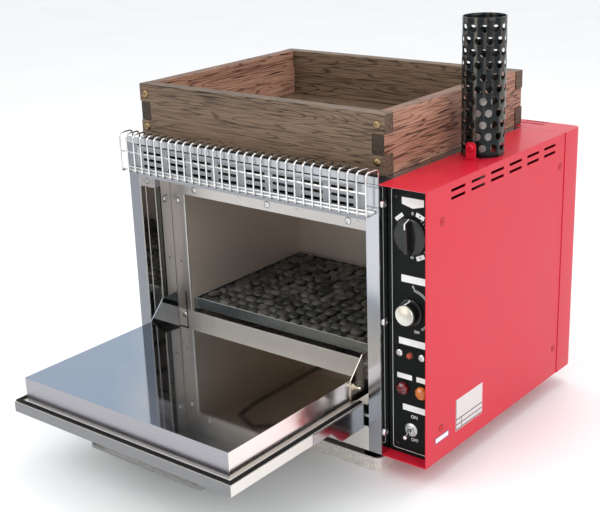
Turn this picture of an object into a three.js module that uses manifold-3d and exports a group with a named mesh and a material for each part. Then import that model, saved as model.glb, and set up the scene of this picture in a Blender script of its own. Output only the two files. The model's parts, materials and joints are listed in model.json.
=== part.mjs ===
import * as THREE from 'three';
import { mergeVertices } from 'three/addons/utils/BufferGeometryUtils.js';
import Module from 'manifold-3d';

const wasm = await Module();
wasm.setup();

// Main sizes in millimetres
const cabinetWidth = 477;
const housingWidth = 75.5;
const bodyDepth = 442;
const bodyHeight = 400;
const rearCoverDepth = 51.7;
const plinthHeight = 21;
const plinthGap = 11;
const sheet = 1.5;
const gap = 0.3;

// Planes that the pieces share
const half = cabinetWidth / 2;
const right = half + housingWidth;
const front = -bodyDepth / 2;
const back = bodyDepth / 2;
const cabinetBack = back - rearCoverDepth;
const base = plinthHeight + plinthGap;
const top = base + bodyHeight;
const innerTop = top - sheet - gap;
const middle = (half + right) / 2;

// Front opening, recess and chamber
const postWidth = 21.5;
const recessDepth = 65.5;
const openingHalf = half - postWidth;
const sillHeight = 38.3;
const sillRise = 19.7;
const ventHeight = 51.7;
const ventBottom = innerTop - ventHeight;
const chamberInset = 53;
const chamberHalf = half - chamberInset;
const mouthLift = 105.5;
const mouthDrop = 94;
const mouthBottom = base + mouthLift;
const mouthTop = top - mouthDrop;
const liner = 1.2;
const chamberLift = 76;
const chamberDrop = 68;
const chamberFloor = base + chamberLift;
const chamberRoof = top - chamberDrop;
const rearSpace = 35.3;
const chamberBack = cabinetBack - rearSpace;
const flangeFront = front + recessDepth;
const flangeBack = flangeFront + sheet;
const chamberFront = flangeBack + gap;

// Door, which turns on two bolts near the sill
const pivotSetback = 5.5;
const pivotLift = 53;
const pivotY = front + pivotSetback;
const pivotZ = base + pivotLift;
const hingeClearance = 8.5;
const doorTopGap = 1.5;
const doorLength = ventBottom - doorTopGap - pivotZ - hingeClearance;
const doorEnd = pivotY - hingeClearance;
const doorFront = doorEnd - doorLength;
const doorSideGap = 6.5;
const panelHalf = openingHalf - doorSideGap;
const panelThickness = 16.2;
const panelDrop = 6.4;
const panelBottom = pivotZ + panelDrop;
const panelTop = panelBottom + panelThickness;
const innerInset = 13.3;
const innerHalf = panelHalf - innerInset;
const seatGap = 1;
const innerTopZ = pivotZ + recessDepth - pivotSetback - seatGap;

const steel = { colour: 0xc9cbcc, roughness: 0.22, metalness: 1 };
const mirror = { colour: 0xd8dadb, roughness: 0.1, metalness: 1 };
const satin = { colour: 0xb4b6b5, roughness: 0.42, metalness: 1 };
const galvanised = { colour: 0xa3a8aa, roughness: 0.5, metalness: 1 };
const red = { colour: 0xc8142c, roughness: 0.35, metalness: 0 };
const black = { colour: 0x141516, roughness: 0.5, metalness: 0 };
const darkChrome = { colour: 0x1c211e, roughness: 0.2, metalness: 0.9 };
const walnut = { colour: 0x4d3423, roughness: 0.6, metalness: 0 };
const stone = { colour: 0x3c3d3a, roughness: 0.85, metalness: 0 };
const wool = { colour: 0xc9c0a8, roughness: 0.95, metalness: 0 };
const rubber = { colour: 0x111111, roughness: 0.85, metalness: 0 };
const plastic = { colour: 0x1b1b1c, roughness: 0.45, metalness: 0 };
const cream = { colour: 0xd8d2c0, roughness: 0.5, metalness: 0 };
const redLens = { colour: 0xb8281c, roughness: 0.15, metalness: 0 };
const amberLens = { colour: 0xd98a3a, roughness: 0.15, metalness: 0 };
const buttonRed = { colour: 0x8e3a30, roughness: 0.4, metalness: 0 };

const group = new THREE.Group();
group.name = 'sweet_potato_roaster';

// Closed mesh to solid, with welded corners and faces turned outward
function solid(geometry) {
  const bare = new THREE.BufferGeometry();
  bare.setAttribute('position', geometry.getAttribute('position').clone());
  if (geometry.index) bare.setIndex(geometry.index.clone());
  const welded = mergeVertices(bare, 1e-4);
  const p = welded.getAttribute('position').array;
  const index = welded.index.array;
  const kept = [];
  let volume = 0;
  for (let i = 0; i < index.length; i += 3) {
    const [a, b, c] = [index[i], index[i + 1], index[i + 2]];
    if (a === b || b === c || a === c) continue;
    kept.push(a, b, c);
    const va = new THREE.Vector3().fromArray(p, a * 3);
    const vb = new THREE.Vector3().fromArray(p, b * 3);
    const vc = new THREE.Vector3().fromArray(p, c * 3);
    volume += va.dot(vb.cross(vc));
  }
  if (volume < 0) kept.reverse();
  return new wasm.Manifold(new wasm.Mesh({
    numProp: 3,
    vertProperties: new Float32Array(p),
    triVerts: new Uint32Array(kept),
  }));
}

// Solid to a named mesh in the group
function part(name, shape, look) {
  const mesh = shape.getMesh();
  const geometry = new THREE.BufferGeometry();
  geometry.setAttribute('position', new THREE.BufferAttribute(new Float32Array(mesh.vertProperties), 3));
  geometry.setIndex(new THREE.BufferAttribute(new Uint32Array(mesh.triVerts), 1));
  geometry.computeVertexNormals();
  const material = new THREE.MeshStandardMaterial({
    color: look.colour,
    roughness: look.roughness,
    metalness: look.metalness,
  });
  const object = new THREE.Mesh(geometry, material);
  object.name = name;
  group.add(object);
}

function box(x0, x1, y0, y1, z0, z1) {
  const shape = new THREE.BoxGeometry(x1 - x0, y1 - y0, z1 - z0);
  shape.translate((x0 + x1) / 2, (y0 + y1) / 2, (z0 + z1) / 2);
  return solid(shape);
}

const join = (shapes) => shapes.reduce((a, b) => a.add(b));
const cut = (shape, tools) => tools.reduce((a, b) => a.subtract(b), shape);

// Outline drawn in the plane across an axis: y-z for x, x-z for y and x-y for z
function prism(axis, outline, from, to) {
  const flat = new THREE.Shape(outline.map(([u, v]) => new THREE.Vector2(u, v)));
  const shape = new THREE.ExtrudeGeometry(flat, { depth: to - from, bevelEnabled: false });
  if (axis === 'x') {
    const across = new THREE.Matrix4().makeBasis(
      new THREE.Vector3(0, 1, 0), new THREE.Vector3(0, 0, 1), new THREE.Vector3(1, 0, 0));
    shape.applyMatrix4(across);
    shape.translate(from, 0, 0);
  } else if (axis === 'y') {
    shape.rotateX(Math.PI / 2);
    shape.translate(0, to, 0);
  } else {
    shape.translate(0, 0, from);
  }
  return solid(shape);
}

// Turned shape: profile pairs are radius and height along the axis
function turned(axis, profile, at, sides) {
  const points = profile.map(([r, h]) => new THREE.Vector2(r, h));
  const shape = new THREE.LatheGeometry(points, sides);
  if (axis === 'x') shape.rotateZ(-Math.PI / 2);
  if (axis === 'z') shape.rotateX(Math.PI / 2);
  shape.translate(...at);
  return solid(shape);
}

// Plain rod along an axis between two planes
function rod(axis, from, to, radius, at, sides = 16) {
  const profile = [[0, from], [radius, from], [radius, to], [0, to], [0, from]];
  return turned(axis, profile, at, sides);
}

// Line through points with a round bend at each square corner
function route(points, bend) {
  const path = new THREE.CurvePath();
  const spots = points.map((p) => new THREE.Vector3(...p));
  const roundness = 0.5523;
  let from = spots[0];
  for (let i = 1; i < spots.length - 1; i += 1) {
    const into = spots[i].clone().sub(spots[i - 1]).normalize().multiplyScalar(bend);
    const out = spots[i + 1].clone().sub(spots[i]).normalize().multiplyScalar(bend);
    const start = spots[i].clone().sub(into);
    const end = spots[i].clone().add(out);
    if (start.distanceTo(from) > gap) path.add(new THREE.LineCurve3(from, start));
    const early = start.clone().addScaledVector(into, roundness);
    const late = end.clone().addScaledVector(out, -roundness);
    path.add(new THREE.CubicBezierCurve3(start, early, late, end));
    from = end;
  }
  path.add(new THREE.LineCurve3(from, spots[spots.length - 1]));
  return path;
}

// Round rod or pipe along a path
function bent(path, radius, bore, sides, steps) {
  const ring = (size) => {
    const points = [];
    for (let i = 0; i < sides; i += 1) {
      const turn = (i / sides) * Math.PI * 2;
      points.push(new THREE.Vector2(Math.cos(turn) * size, Math.sin(turn) * size));
    }
    return points;
  };
  const shape = new THREE.Shape(ring(radius));
  if (bore) shape.holes.push(new THREE.Path(ring(bore)));
  return solid(new THREE.ExtrudeGeometry(shape, { steps, extrudePath: path, bevelEnabled: false }));
}

// Rectangle outline with rounded corners
function rounded(u0, u1, v0, v1, radius, steps = 3) {
  const corners = [
    [u1 - radius, v0 + radius, -1], [u1 - radius, v1 - radius, 0],
    [u0 + radius, v1 - radius, 1], [u0 + radius, v0 + radius, 2],
  ];
  const outline = [];
  for (const [u, v, quarter] of corners) {
    for (let i = 0; i <= steps; i += 1) {
      const turn = (quarter + i / steps) * Math.PI / 2;
      outline.push([u + Math.cos(turn) * radius, v + Math.sin(turn) * radius]);
    }
  }
  return outline;
}

// Plinth pan and the feet that carry the body on it
const plinthInset = 6;
const plinthSetback = 3;
const plinthWall = 2;
const plinthRadius = 10;
const footRadius = 15;
const footInset = 45;
const panOutline = (inset) => rounded(
  -half + plinthInset + inset, half - plinthInset - inset,
  front + plinthSetback + inset, back - plinthSetback - inset, plinthRadius - inset);
const panHollow = prism('z', panOutline(plinthWall), plinthWall, plinthHeight + sheet);
part('base_plinth', cut(prism('z', panOutline(0), 0, plinthHeight), [panHollow]), satin);
for (const [end, footY] of [['front', front + footInset], ['rear', cabinetBack - footInset]]) {
  for (const [hand, side] of [['left', -1], ['right', 1]]) {
    const at = [side * (half - footInset), footY, 0];
    part(`${end}_${hand}_spacer`, rod('z', plinthWall + gap, base - gap, footRadius, at, 10), rubber);
  }
}

// Flue line through the chamber wall, the cabinet side and the housing roof
const flueRadius = 12.5;
const flueWall = 1.2;
const flueHole = flueRadius + sheet;
const flueShift = 5.75;
const flueX = middle - flueShift;
const flueSetback = 214.65;
const flueY = front + flueSetback;
const flueDrop = 110;
const flueZ = top - flueDrop;
const flueRise = 78;
const flueBend = 30;
const sideBore = (radius, y, z) => rod('x', 0, right - sheet - gap, radius, [0, y, z], 10);

// Probe line and heater legs, which need holes too
const probeRadius = 2;
const probeHole = 3.5;
const probeSetback = 133;
const probeY = front + probeSetback;
const thermostatShare = 0.5525;
const thermostatZ = base + bodyHeight * thermostatShare;
const heaterRadius = 4;
const heaterShare = 0.8;
const heaterHalf = chamberHalf * heaterShare;
const heaterLift = 14;
const heaterHeights = [chamberFloor + heaterLift, chamberRoof - heaterLift];
const legBores = () => heaterHeights.flatMap((z) => [-1, 1].map(
  (side) => rod('y', 0, back, heaterRadius + gap * 2, [side * heaterHalf, 0, z], 8)));
const lineBores = () => [sideBore(flueHole, flueY, flueZ), sideBore(probeHole, probeY, thermostatZ)];

// Cabinet shell: floor and two sides
const shellOutline = [
  [-half, base], [half, base], [half, innerTop], [half - sheet, innerTop],
  [half - sheet, base + sheet], [-half + sheet, base + sheet], [-half + sheet, innerTop], [-half, innerTop],
];
const shell = prism('y', shellOutline, front + sheet + gap, cabinetBack - gap);
part('cabinet_shell', cut(shell, lineBores()), steel);

// Front posts with a return that carries the door bolts
const boltRadius = 3;
const returnBack = flangeFront - gap;
for (const [hand, side] of [['left', -1], ['right', 1]]) {
  const outline = [
    [side * half, front], [side * half, front + sheet],
    [side * (openingHalf + sheet), front + sheet], [side * (openingHalf + sheet), returnBack],
    [side * openingHalf, returnBack], [side * openingHalf, front],
  ];
  const hole = rod('x', -half, half, boltRadius + gap, [0, pivotY, pivotZ], 12);
  const notch = box(-half, half, front + sheet, flangeFront, base - sheet, base + sheet + gap);
  part(`${hand}_post`, cut(prism('z', outline, base, innerTop), [hole, notch]), mirror);
}

// Cheek plates of the door pass wells at both ends of the sill
const cheekInner = innerHalf + gap;
const cheekOuter = cheekInner + sheet;
const cheekClear = 1;
const sillHalf = cheekInner - sheet;
const frontHalf = openingHalf - gap;
const sillTop = base + sillHeight + sillRise;
const sillOutline = [
  [-frontHalf, base], [frontHalf, base], [frontHalf, base + sillHeight], [sillHalf, base + sillHeight],
  [sillHalf, sillTop], [-sillHalf, sillTop], [-sillHalf, base + sillHeight], [-frontHalf, base + sillHeight],
];
const sillReturn = box(-sillHalf, sillHalf, front, returnBack, sillTop - sheet, sillTop);
part('front_sill', join([prism('y', sillOutline, front, front + sheet), sillReturn]), mirror);

// Vent panel over the door with three rows of slots
const ventCount = 8;
const ventPitchShare = 0.1196;
const ventLengthShare = 0.7225;
const ventShift = 3;
const ventRowShares = [0.226, 0.439, 0.642];
const slotHeight = 4;
const ventPitch = openingHalf * 2 * ventPitchShare;
const ventLength = ventPitch * ventLengthShare;
const ventSlots = [];
for (const share of ventRowShares) {
  const z = innerTop - ventHeight * share;
  for (let i = 0; i < ventCount; i += 1) {
    const x = (i - (ventCount - 1) / 2) * ventPitch - ventShift;
    ventSlots.push(box(x - ventLength / 2, x + ventLength / 2, front - sheet, front + sheet * 2,
      z - slotHeight / 2, z + slotHeight / 2));
  }
}
const ventFace = box(-frontHalf, frontHalf, front, front + sheet, ventBottom, innerTop);
const ventReturn = box(-frontHalf, frontHalf, front, returnBack, ventBottom, ventBottom + sheet);
part('vent_panel', cut(join([ventFace, ventReturn]), ventSlots), mirror);

// Top deck with its raised front rim
const rimHeight = 9;
const deckOutline = [
  [front, top - sheet], [cabinetBack - gap, top - sheet], [cabinetBack - gap, top],
  [front + sheet, top], [front + sheet, top + rimHeight], [front, top + rimHeight],
];
part('top_deck', prism('x', deckOutline, -half, half), mirror);

// Mouth flange at the back of the recess, slotted for the cheek plates
const wellLift = 74;
const cheekReach = 138;
const flangeBox = box(-openingHalf, openingHalf, flangeFront, flangeBack, sillTop + gap, ventBottom + sheet);
const flangeCuts = [
  box(-chamberHalf, chamberHalf, flangeFront - sheet, flangeBack + sheet, mouthBottom, mouthTop),
];
for (const side of [-1, 1]) {
  const edges = [sillHalf, half].map((x) => x * side).sort((a, b) => a - b);
  flangeCuts.push(box(...edges, flangeFront - sheet, flangeBack + sheet, base, base + wellLift));
  const slot = [cheekInner - cheekClear, cheekOuter + cheekClear].map((x) => x * side).sort((a, b) => a - b);
  flangeCuts.push(box(...slot, flangeFront - sheet, flangeBack + sheet, base, base + cheekReach));
}
part('mouth_flange', cut(flangeBox, flangeCuts), mirror);

// Oven liner, open to the front
const linerOuter = box(-chamberHalf - liner, chamberHalf + liner, chamberFront, chamberBack + liner,
  chamberFloor - liner, chamberRoof + liner);
const linerInner = box(-chamberHalf, chamberHalf, front, chamberBack, chamberFloor, chamberRoof);
part('chamber_liner', cut(linerOuter, [linerInner, ...lineBores(), ...legBores()]), satin);

// Tray rails on the chamber walls
const trayLift = 7.3;
const railWidth = 12.7;
const railDepth = 14;
const railInset = 3;
const railTop = mouthBottom + trayLift - gap;
const railOuter = chamberHalf - gap;
for (const [hand, side] of [['left', -1], ['right', 1]]) {
  const outline = [
    [side * railOuter, railTop], [side * (railOuter - railWidth), railTop],
    [side * (railOuter - railWidth), railTop - sheet], [side * (railOuter - sheet), railTop - sheet],
    [side * (railOuter - sheet), railTop - railDepth], [side * railOuter, railTop - railDepth],
  ];
  part(`${hand}_tray_rail`, prism('y', outline, chamberFront + sheet, chamberBack - railInset), galvanised);
}

// Sheathed heaters above and below the tray, bent to and fro
const heaterShift = 28;
const laneCount = 4;
const lanePitch = heaterHalf * 2 / (laneCount - 1);
const legEnd = cabinetBack + heaterRadius;
for (const [name, z] of [['lower_heater', heaterHeights[0]], ['upper_heater', heaterHeights[1]]]) {
  const points = [[-heaterHalf, legEnd, z]];
  for (let lane = 0; lane < laneCount - 1; lane += 1) {
    const y = lane % 2 ? chamberBack - heaterShift : chamberFront + heaterShift;
    points.push([-heaterHalf + lane * lanePitch, y, z], [-heaterHalf + (lane + 1) * lanePitch, y, z]);
  }
  points.push([heaterHalf, legEnd, z]);
  part(name, bent(route(points, lanePitch / 2), heaterRadius, 0, 6, 22), galvanised);
}

// Insulation jacket round the liner
const jacketSide = 22.1;
const jacketBelow = 14.5;
const jacketBack = 30.5;
const jacketSetback = 112;
const woolSide = chamberHalf + liner + gap;
const jacket = box(-woolSide - jacketSide, woolSide + jacketSide, front + jacketSetback,
  chamberBack + liner + gap + jacketBack, chamberFloor - liner - gap - jacketBelow,
  chamberRoof + liner + gap + jacketBelow);
const jacketHollow = box(-woolSide, woolSide, front, chamberBack + liner + gap,
  chamberFloor - liner - gap, chamberRoof + liner + gap);
part('insulation_jacket', cut(jacket, [jacketHollow, ...lineBores(), ...legBores()]), wool);

// Channels that hold the jacket off the cabinet floor
const supportWidth = 30;
const supportShare = 0.6;
const supportTop = chamberFloor - liner - gap * 2 - jacketBelow;
const supportBottom = base + sheet + gap;
for (const [hand, side] of [['left', -1], ['right', 1]]) {
  const x = side * chamberHalf * supportShare;
  const outline = [
    [x - supportWidth / 2, supportBottom], [x - supportWidth / 2 + sheet, supportBottom],
    [x - supportWidth / 2 + sheet, supportTop - sheet], [x + supportWidth / 2 - sheet, supportTop - sheet],
    [x + supportWidth / 2 - sheet, supportBottom], [x + supportWidth / 2, supportBottom],
    [x + supportWidth / 2, supportTop], [x - supportWidth / 2, supportTop],
  ];
  part(`${hand}_chamber_support`, prism('y', outline, front + jacketSetback, chamberBack), galvanised);
}

// Inner back panel of the cabinet
const innerSide = half - sheet - gap;
const backPanel = box(-innerSide, innerSide, cabinetBack - gap * 2 - sheet, cabinetBack - gap * 2,
  base + sheet + gap, innerTop);
part('inner_back_panel', cut(backPanel, legBores()), galvanised);

// Red side cover of the control housing
const coverSlotCount = 6;
const coverSlotStart = 0.2024;
const coverSlotPitch = 0.134;
const coverSlotShare = 0.688;
const coverSlotDrops = [12.5, 23.3];
const coverOutline = [
  [half + gap, top - sheet], [right - sheet, top - sheet], [right - sheet, base + sheet],
  [half + gap, base + sheet], [half + gap, base], [right, base], [right, top], [half + gap, top],
];
const coverCuts = [rod('z', flueZ, top + sheet, flueHole, [flueX, flueY, 0], 16)];
const coverDepth = bodyDepth - rearCoverDepth;
for (const drop of coverSlotDrops) {
  for (let i = 0; i < coverSlotCount; i += 1) {
    const y = front + coverDepth * (coverSlotStart + coverSlotPitch * i);
    const length = coverDepth * coverSlotPitch * coverSlotShare;
    coverCuts.push(box(right - sheet * 2, right + sheet, y - length / 2, y + length / 2,
      top - drop - slotHeight / 2, top - drop + slotHeight / 2));
  }
}
part('side_cover', cut(prism('y', coverOutline, front, cabinetBack - gap), coverCuts), red);

// Red rear cover over the whole back, with slots along its top
const coverRadius = 12;
const rearSlotCount = 8;
const rearSlotStart = 0.1973;
const rearSlotPitch = 0.0959;
const rearSlotShare = 0.755;
const rearRowShares = [0.613, 0.893];
const fullWidth = right + half;
function rearOutline(inset) {
  const outline = [[-half + inset, cabinetBack - inset], [right - inset, cabinetBack - inset]];
  for (const [x, quarter] of [[right - coverRadius, 0], [-half + coverRadius, 1]]) {
    for (let i = 0; i <= 3; i += 1) {
      const turn = (quarter + i / 3) * Math.PI / 2;
      const reach = coverRadius - inset;
      outline.push([x + Math.cos(turn) * reach, back - coverRadius + Math.sin(turn) * reach]);
    }
  }
  return outline;
}
const glandRadius = 8;
const glandInset = 70;
const glandLift = 45;
const glandX = right - glandInset;
const glandZ = base + glandLift;
const rearCuts = [
  prism('z', rearOutline(sheet), base + sheet, top - sheet),
  rod('y', 0, back + sheet, glandRadius + gap, [glandX, 0, glandZ], 12),
];
for (const share of rearRowShares) {
  const y = cabinetBack + rearCoverDepth * share;
  for (let i = 0; i < rearSlotCount; i += 1) {
    const x = -half + fullWidth * (rearSlotStart + rearSlotPitch * i);
    const length = fullWidth * rearSlotPitch * rearSlotShare;
    rearCuts.push(box(x - length / 2, x + length / 2, y - slotHeight / 2, y + slotHeight / 2,
      top - sheet * 2, top + sheet));
  }
}
part('rear_cover', cut(prism('z', rearOutline(0), base, top), rearCuts), red);

// Cable gland through the rear cover
const glandFlange = 11;
const glandNut = 8;
const glandBore = 4;
const glandInside = 4;
part('cable_gland', turned('y', [
  [glandBore, back - sheet - gap - glandInside], [glandFlange, back - sheet - gap - glandInside],
  [glandFlange, back - sheet - gap], [glandRadius, back - sheet - gap], [glandRadius, back + gap],
  [glandFlange, back + gap], [glandFlange, back + glandNut], [glandBore, back + glandNut],
  [glandBore, back - sheet - gap - glandInside],
], [glandX, 0, glandZ], 12), plastic);

// Control panel set back between the cabinet side and the side cover
const panelSetback = 20;
const panelSheet = 1.2;
const panelMargin = 2;
const panelFlange = 12;
const panelFront = front + panelSetback;
const panelBack = panelFront + panelSheet;
const timerShare = 0.8225;
const resetShare = 0.3938;
const lampShare = 0.2613;
const toggleShare = 0.1075;
const timerZ = base + bodyHeight * timerShare;
const resetZ = base + bodyHeight * resetShare;
const lampZ = base + bodyHeight * lampShare;
const toggleZ = base + bodyHeight * toggleShare;
const redLampShare = -0.17;
const amberLampShare = 0.236;
const redLampX = middle + housingWidth * redLampShare;
const amberLampX = middle + housingWidth * amberLampShare;
const shaftRadius = 3;
const shaftHole = 4;
const lampNeck = 7.6;
const resetNeck = 6.5;
const bushRadius = 6;
const panelLeft = half + panelMargin / 2;
const panelRight = right - panelMargin;
const panelLow = base + panelMargin;
const panelHigh = top - panelMargin;
const panelOutline = [
  [panelLeft, panelFront], [panelRight, panelFront], [panelRight, panelFront + panelFlange],
  [panelRight - panelSheet, panelFront + panelFlange], [panelRight - panelSheet, panelBack],
  [panelLeft + panelSheet, panelBack], [panelLeft + panelSheet, panelFront + panelFlange],
  [panelLeft, panelFront + panelFlange],
];
const panelHole = (x, z, radius) => rod('y', front, 0, radius, [x, 0, z], 12);
part('control_panel', cut(prism('z', panelOutline, panelLow, panelHigh), [
  panelHole(middle, timerZ, shaftHole),
  panelHole(middle, thermostatZ, shaftHole),
  panelHole(middle, resetZ, resetNeck + gap),
  panelHole(redLampX, lampZ, lampNeck + gap),
  panelHole(amberLampX, lampZ, lampNeck + gap),
  panelHole(middle, toggleZ, bushRadius + gap),
]), black);

// Timer: body with a blind bore for the shaft of the turning knob
const bodyGap = 0.4;
const bodyFront = panelBack + bodyGap;
const boreDepth = 8;
const shaftDepth = 7;
const timerHalf = 24;
const timerDepth = 38;
const shaftBore = (z) => rod('y', bodyFront - sheet, bodyFront + boreDepth, shaftRadius + gap, [middle, 0, z], 12);
part('timer_body', cut(
  box(middle - timerHalf, middle + timerHalf, bodyFront, bodyFront + timerDepth,
    timerZ - timerHalf, timerZ + timerHalf),
  [shaftBore(timerZ)]), plastic);
const skirtRadius = 26;
const skirtGap = 0.6;
const skirtThickness = 4;
const skirtFront = panelFront - skirtGap - skirtThickness;
const gripDepth = 10;
const gripFront = skirtFront - gripDepth;
const gripHalf = 5.5;
const gripRound = 4;
const skirt = turned('y', [
  [0, skirtFront], [skirtRadius - sheet, skirtFront], [skirtRadius, skirtFront + sheet],
  [skirtRadius, panelFront - skirtGap], [shaftRadius, panelFront - skirtGap],
  [shaftRadius, bodyFront + shaftDepth], [0, bodyFront + shaftDepth], [0, skirtFront],
], [middle, 0, timerZ], 20);
const gripOutline = rounded(middle - gripHalf, middle + gripHalf,
  timerZ - skirtRadius, timerZ + skirtRadius - gripRound, gripRound, 2);
part('timer_knob', join([skirt, prism('y', gripOutline, gripFront, skirtFront + sheet / 2)]), plastic);

// Thermostat: body, deep round knob and a probe line into the chamber
const thermostatHalf = 20;
const thermostatDepth = 30;
const thermostatBody = cut(
  box(middle - thermostatHalf, middle + thermostatHalf, bodyFront, bodyFront + thermostatDepth,
    thermostatZ - thermostatHalf, thermostatZ + thermostatHalf),
  [shaftBore(thermostatZ)]);
part('thermostat_body', thermostatBody, cream);
const probeBend = 20;
const probeReach = 25;
const probeStart = bodyFront + thermostatDepth + gap;
part('thermostat_probe', bent(route([
  [middle, probeStart, thermostatZ], [middle, probeY, thermostatZ], [chamberHalf - probeReach, probeY, thermostatZ],
], probeBend), probeRadius, 0, 6, 10), galvanised);
const knobFront = 18;
const capRadius = 14.5;
const knobRadius = 15.5;
const knobSkirt = 19;
const capDepth = 2.5;
part('thermostat_knob', turned('y', [
  [0, panelFront - knobFront], [capRadius - gap, panelFront - knobFront],
  [capRadius, panelFront - knobFront + gap], [capRadius, panelFront - knobFront + capDepth],
  [knobRadius, panelFront - knobFront + capDepth], [knobRadius + gap, panelFront - skirtThickness],
  [knobSkirt, panelFront - skirtThickness], [knobSkirt, panelFront - skirtGap],
  [shaftRadius, panelFront - skirtGap], [shaftRadius, bodyFront + shaftDepth],
  [0, bodyFront + shaftDepth], [0, panelFront - knobFront],
], [middle, 0, thermostatZ], 18), plastic);

// Reset switch with its oval front plate, and the button in its bore
const resetHalf = 12;
const resetDepth = 24;
const ovalHalf = 27;
const ovalRadius = 8;
const buttonRadius = 4;
const buttonProud = 6;
const buttonBore = 15;
const buttonTravel = 3;
const ovalBack = panelFront - gap;
const ovalFront = ovalBack - panelSheet;
const ovalOutline = rounded(middle - ovalHalf, middle + ovalHalf, resetZ - ovalRadius, resetZ + ovalRadius,
  ovalRadius - gap, 4);
const resetBody = join([
  prism('y', ovalOutline, ovalFront, ovalBack),
  rod('y', ovalBack - gap, bodyFront + gap, resetNeck, [middle, 0, resetZ], 12),
  box(middle - resetHalf, middle + resetHalf, bodyFront, bodyFront + resetDepth,
    resetZ - resetHalf, resetZ + resetHalf),
]);
const buttonHole = rod('y', front, ovalFront + buttonBore, buttonRadius + gap, [middle, 0, resetZ], 12);
part('reset_switch', cut(resetBody, [buttonHole]), plastic);
const buttonBack = ovalFront + buttonBore - buttonTravel - gap;
part('reset_button', turned('y', [
  [0, ovalFront - buttonProud], [buttonRadius - gap * 2, ovalFront - buttonProud],
  [buttonRadius, ovalFront - buttonProud + gap * 2], [buttonRadius, buttonBack], [0, buttonBack],
  [0, ovalFront - buttonProud],
], [middle, 0, resetZ], 12), buttonRed);

// Lamps through the panel
const lampRadius = 9.5;
const lampFlange = 1.6;
const lampDome = 8;
const lampDepth = 22;
const facetShares = { tip: 0.45, tipDrop: 0.92, shoulder: 0.8, shoulderDrop: 0.6, foot: 0.92 };
for (const [name, x, look] of [['red_lamp', redLampX, redLens], ['amber_lamp', amberLampX, amberLens]]) {
  const rim = panelFront - gap;
  part(name, turned('y', [
    [0, rim - lampDome], [lampRadius * facetShares.tip, rim - lampDome * facetShares.tipDrop],
    [lampRadius * facetShares.shoulder, rim - lampDome * facetShares.shoulderDrop],
    [lampRadius * facetShares.foot, rim - lampFlange], [lampRadius, rim - lampFlange], [lampRadius, rim],
    [lampNeck, rim], [lampNeck, rim + lampDepth], [0, rim + lampDepth], [0, rim - lampDome],
  ], [x, 0, lampZ], 10), look);
}

// Toggle switch: body with bushing, ring nut and bat lever
const toggleHalfWidth = 8;
const toggleHalfHeight = 14;
const toggleDepth = 24;
const bushFront = 6;
const bushBore = 4.6;
const nutRadius = 10;
const nutThickness = 2.6;
const leverPivot = 1.5;
const leverReach = 16.5;
const leverTip = 2.8;
const leverRoot = 1.6;
const neckShare = 0.8;
const endShare = 0.6;
const leverTilt = 21.8 * Math.PI / 180;
const toggleBody = join([
  box(middle - toggleHalfWidth, middle + toggleHalfWidth, bodyFront, bodyFront + toggleDepth,
    toggleZ - toggleHalfHeight, toggleZ + toggleHalfHeight),
  rod('y', panelFront - bushFront, bodyFront + gap, bushRadius, [middle, 0, toggleZ], 12),
]);
const leverBore = rod('y', front, bodyFront + boreDepth, bushBore, [middle, 0, toggleZ], 12);
part('toggle_body', cut(toggleBody, [leverBore]), galvanised);
part('toggle_nut', turned('y', [
  [bushRadius + gap, panelFront - gap - nutThickness], [nutRadius - gap, panelFront - gap - nutThickness],
  [nutRadius, panelFront - gap * 2 - nutThickness / 2], [nutRadius, panelFront - gap],
  [bushRadius + gap, panelFront - gap], [bushRadius + gap, panelFront - gap - nutThickness],
], [middle, 0, toggleZ], 12), steel);
const lever = turned('y', [
  [0, leverRoot * 2], [leverRoot, leverRoot], [leverRoot, 0], [leverTip * neckShare, -leverReach + leverTip],
  [leverTip * endShare, -leverReach], [0, -leverReach - leverRoot / 4], [0, leverRoot * 2],
], [0, 0, 0], 8);
part('toggle_lever', lever.rotate([leverTilt * 180 / Math.PI, 0, 0])
  .translate([middle, panelFront - leverPivot, toggleZ]), steel);

// Terminal block on the housing floor
const blockHalf = 20;
const blockShare = 0.78;
const blockDepth = 40;
const blockHeight = 24;
const blockY = front + coverDepth * blockShare;
const blockBottom = base + sheet + gap;
const blockSlot = 6;
const blockCuts = [];
for (const share of [-0.6, -0.2, 0.2, 0.6]) {
  const y = blockY + blockDepth / 2 * share;
  blockCuts.push(box(middle - blockHalf - sheet, middle + blockHalf + sheet, y - blockSlot / 2, y + blockSlot / 2,
    blockBottom + blockHeight / 2, blockBottom + blockHeight + sheet));
}
part('terminal_block', cut(
  box(middle - blockHalf, middle + blockHalf, blockY - blockDepth / 2, blockY + blockDepth / 2,
    blockBottom, blockBottom + blockHeight), blockCuts), cream);

// Flue pipe from the chamber side, bent up through the roof
const pipePath = route([
  [chamberHalf, flueY, flueZ], [flueX, flueY, flueZ], [flueX, flueY, top + flueRise],
], flueBend);
part('flue_pipe', bent(pipePath, flueRadius, flueRadius - flueWall, 10, 12), steel);

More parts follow.
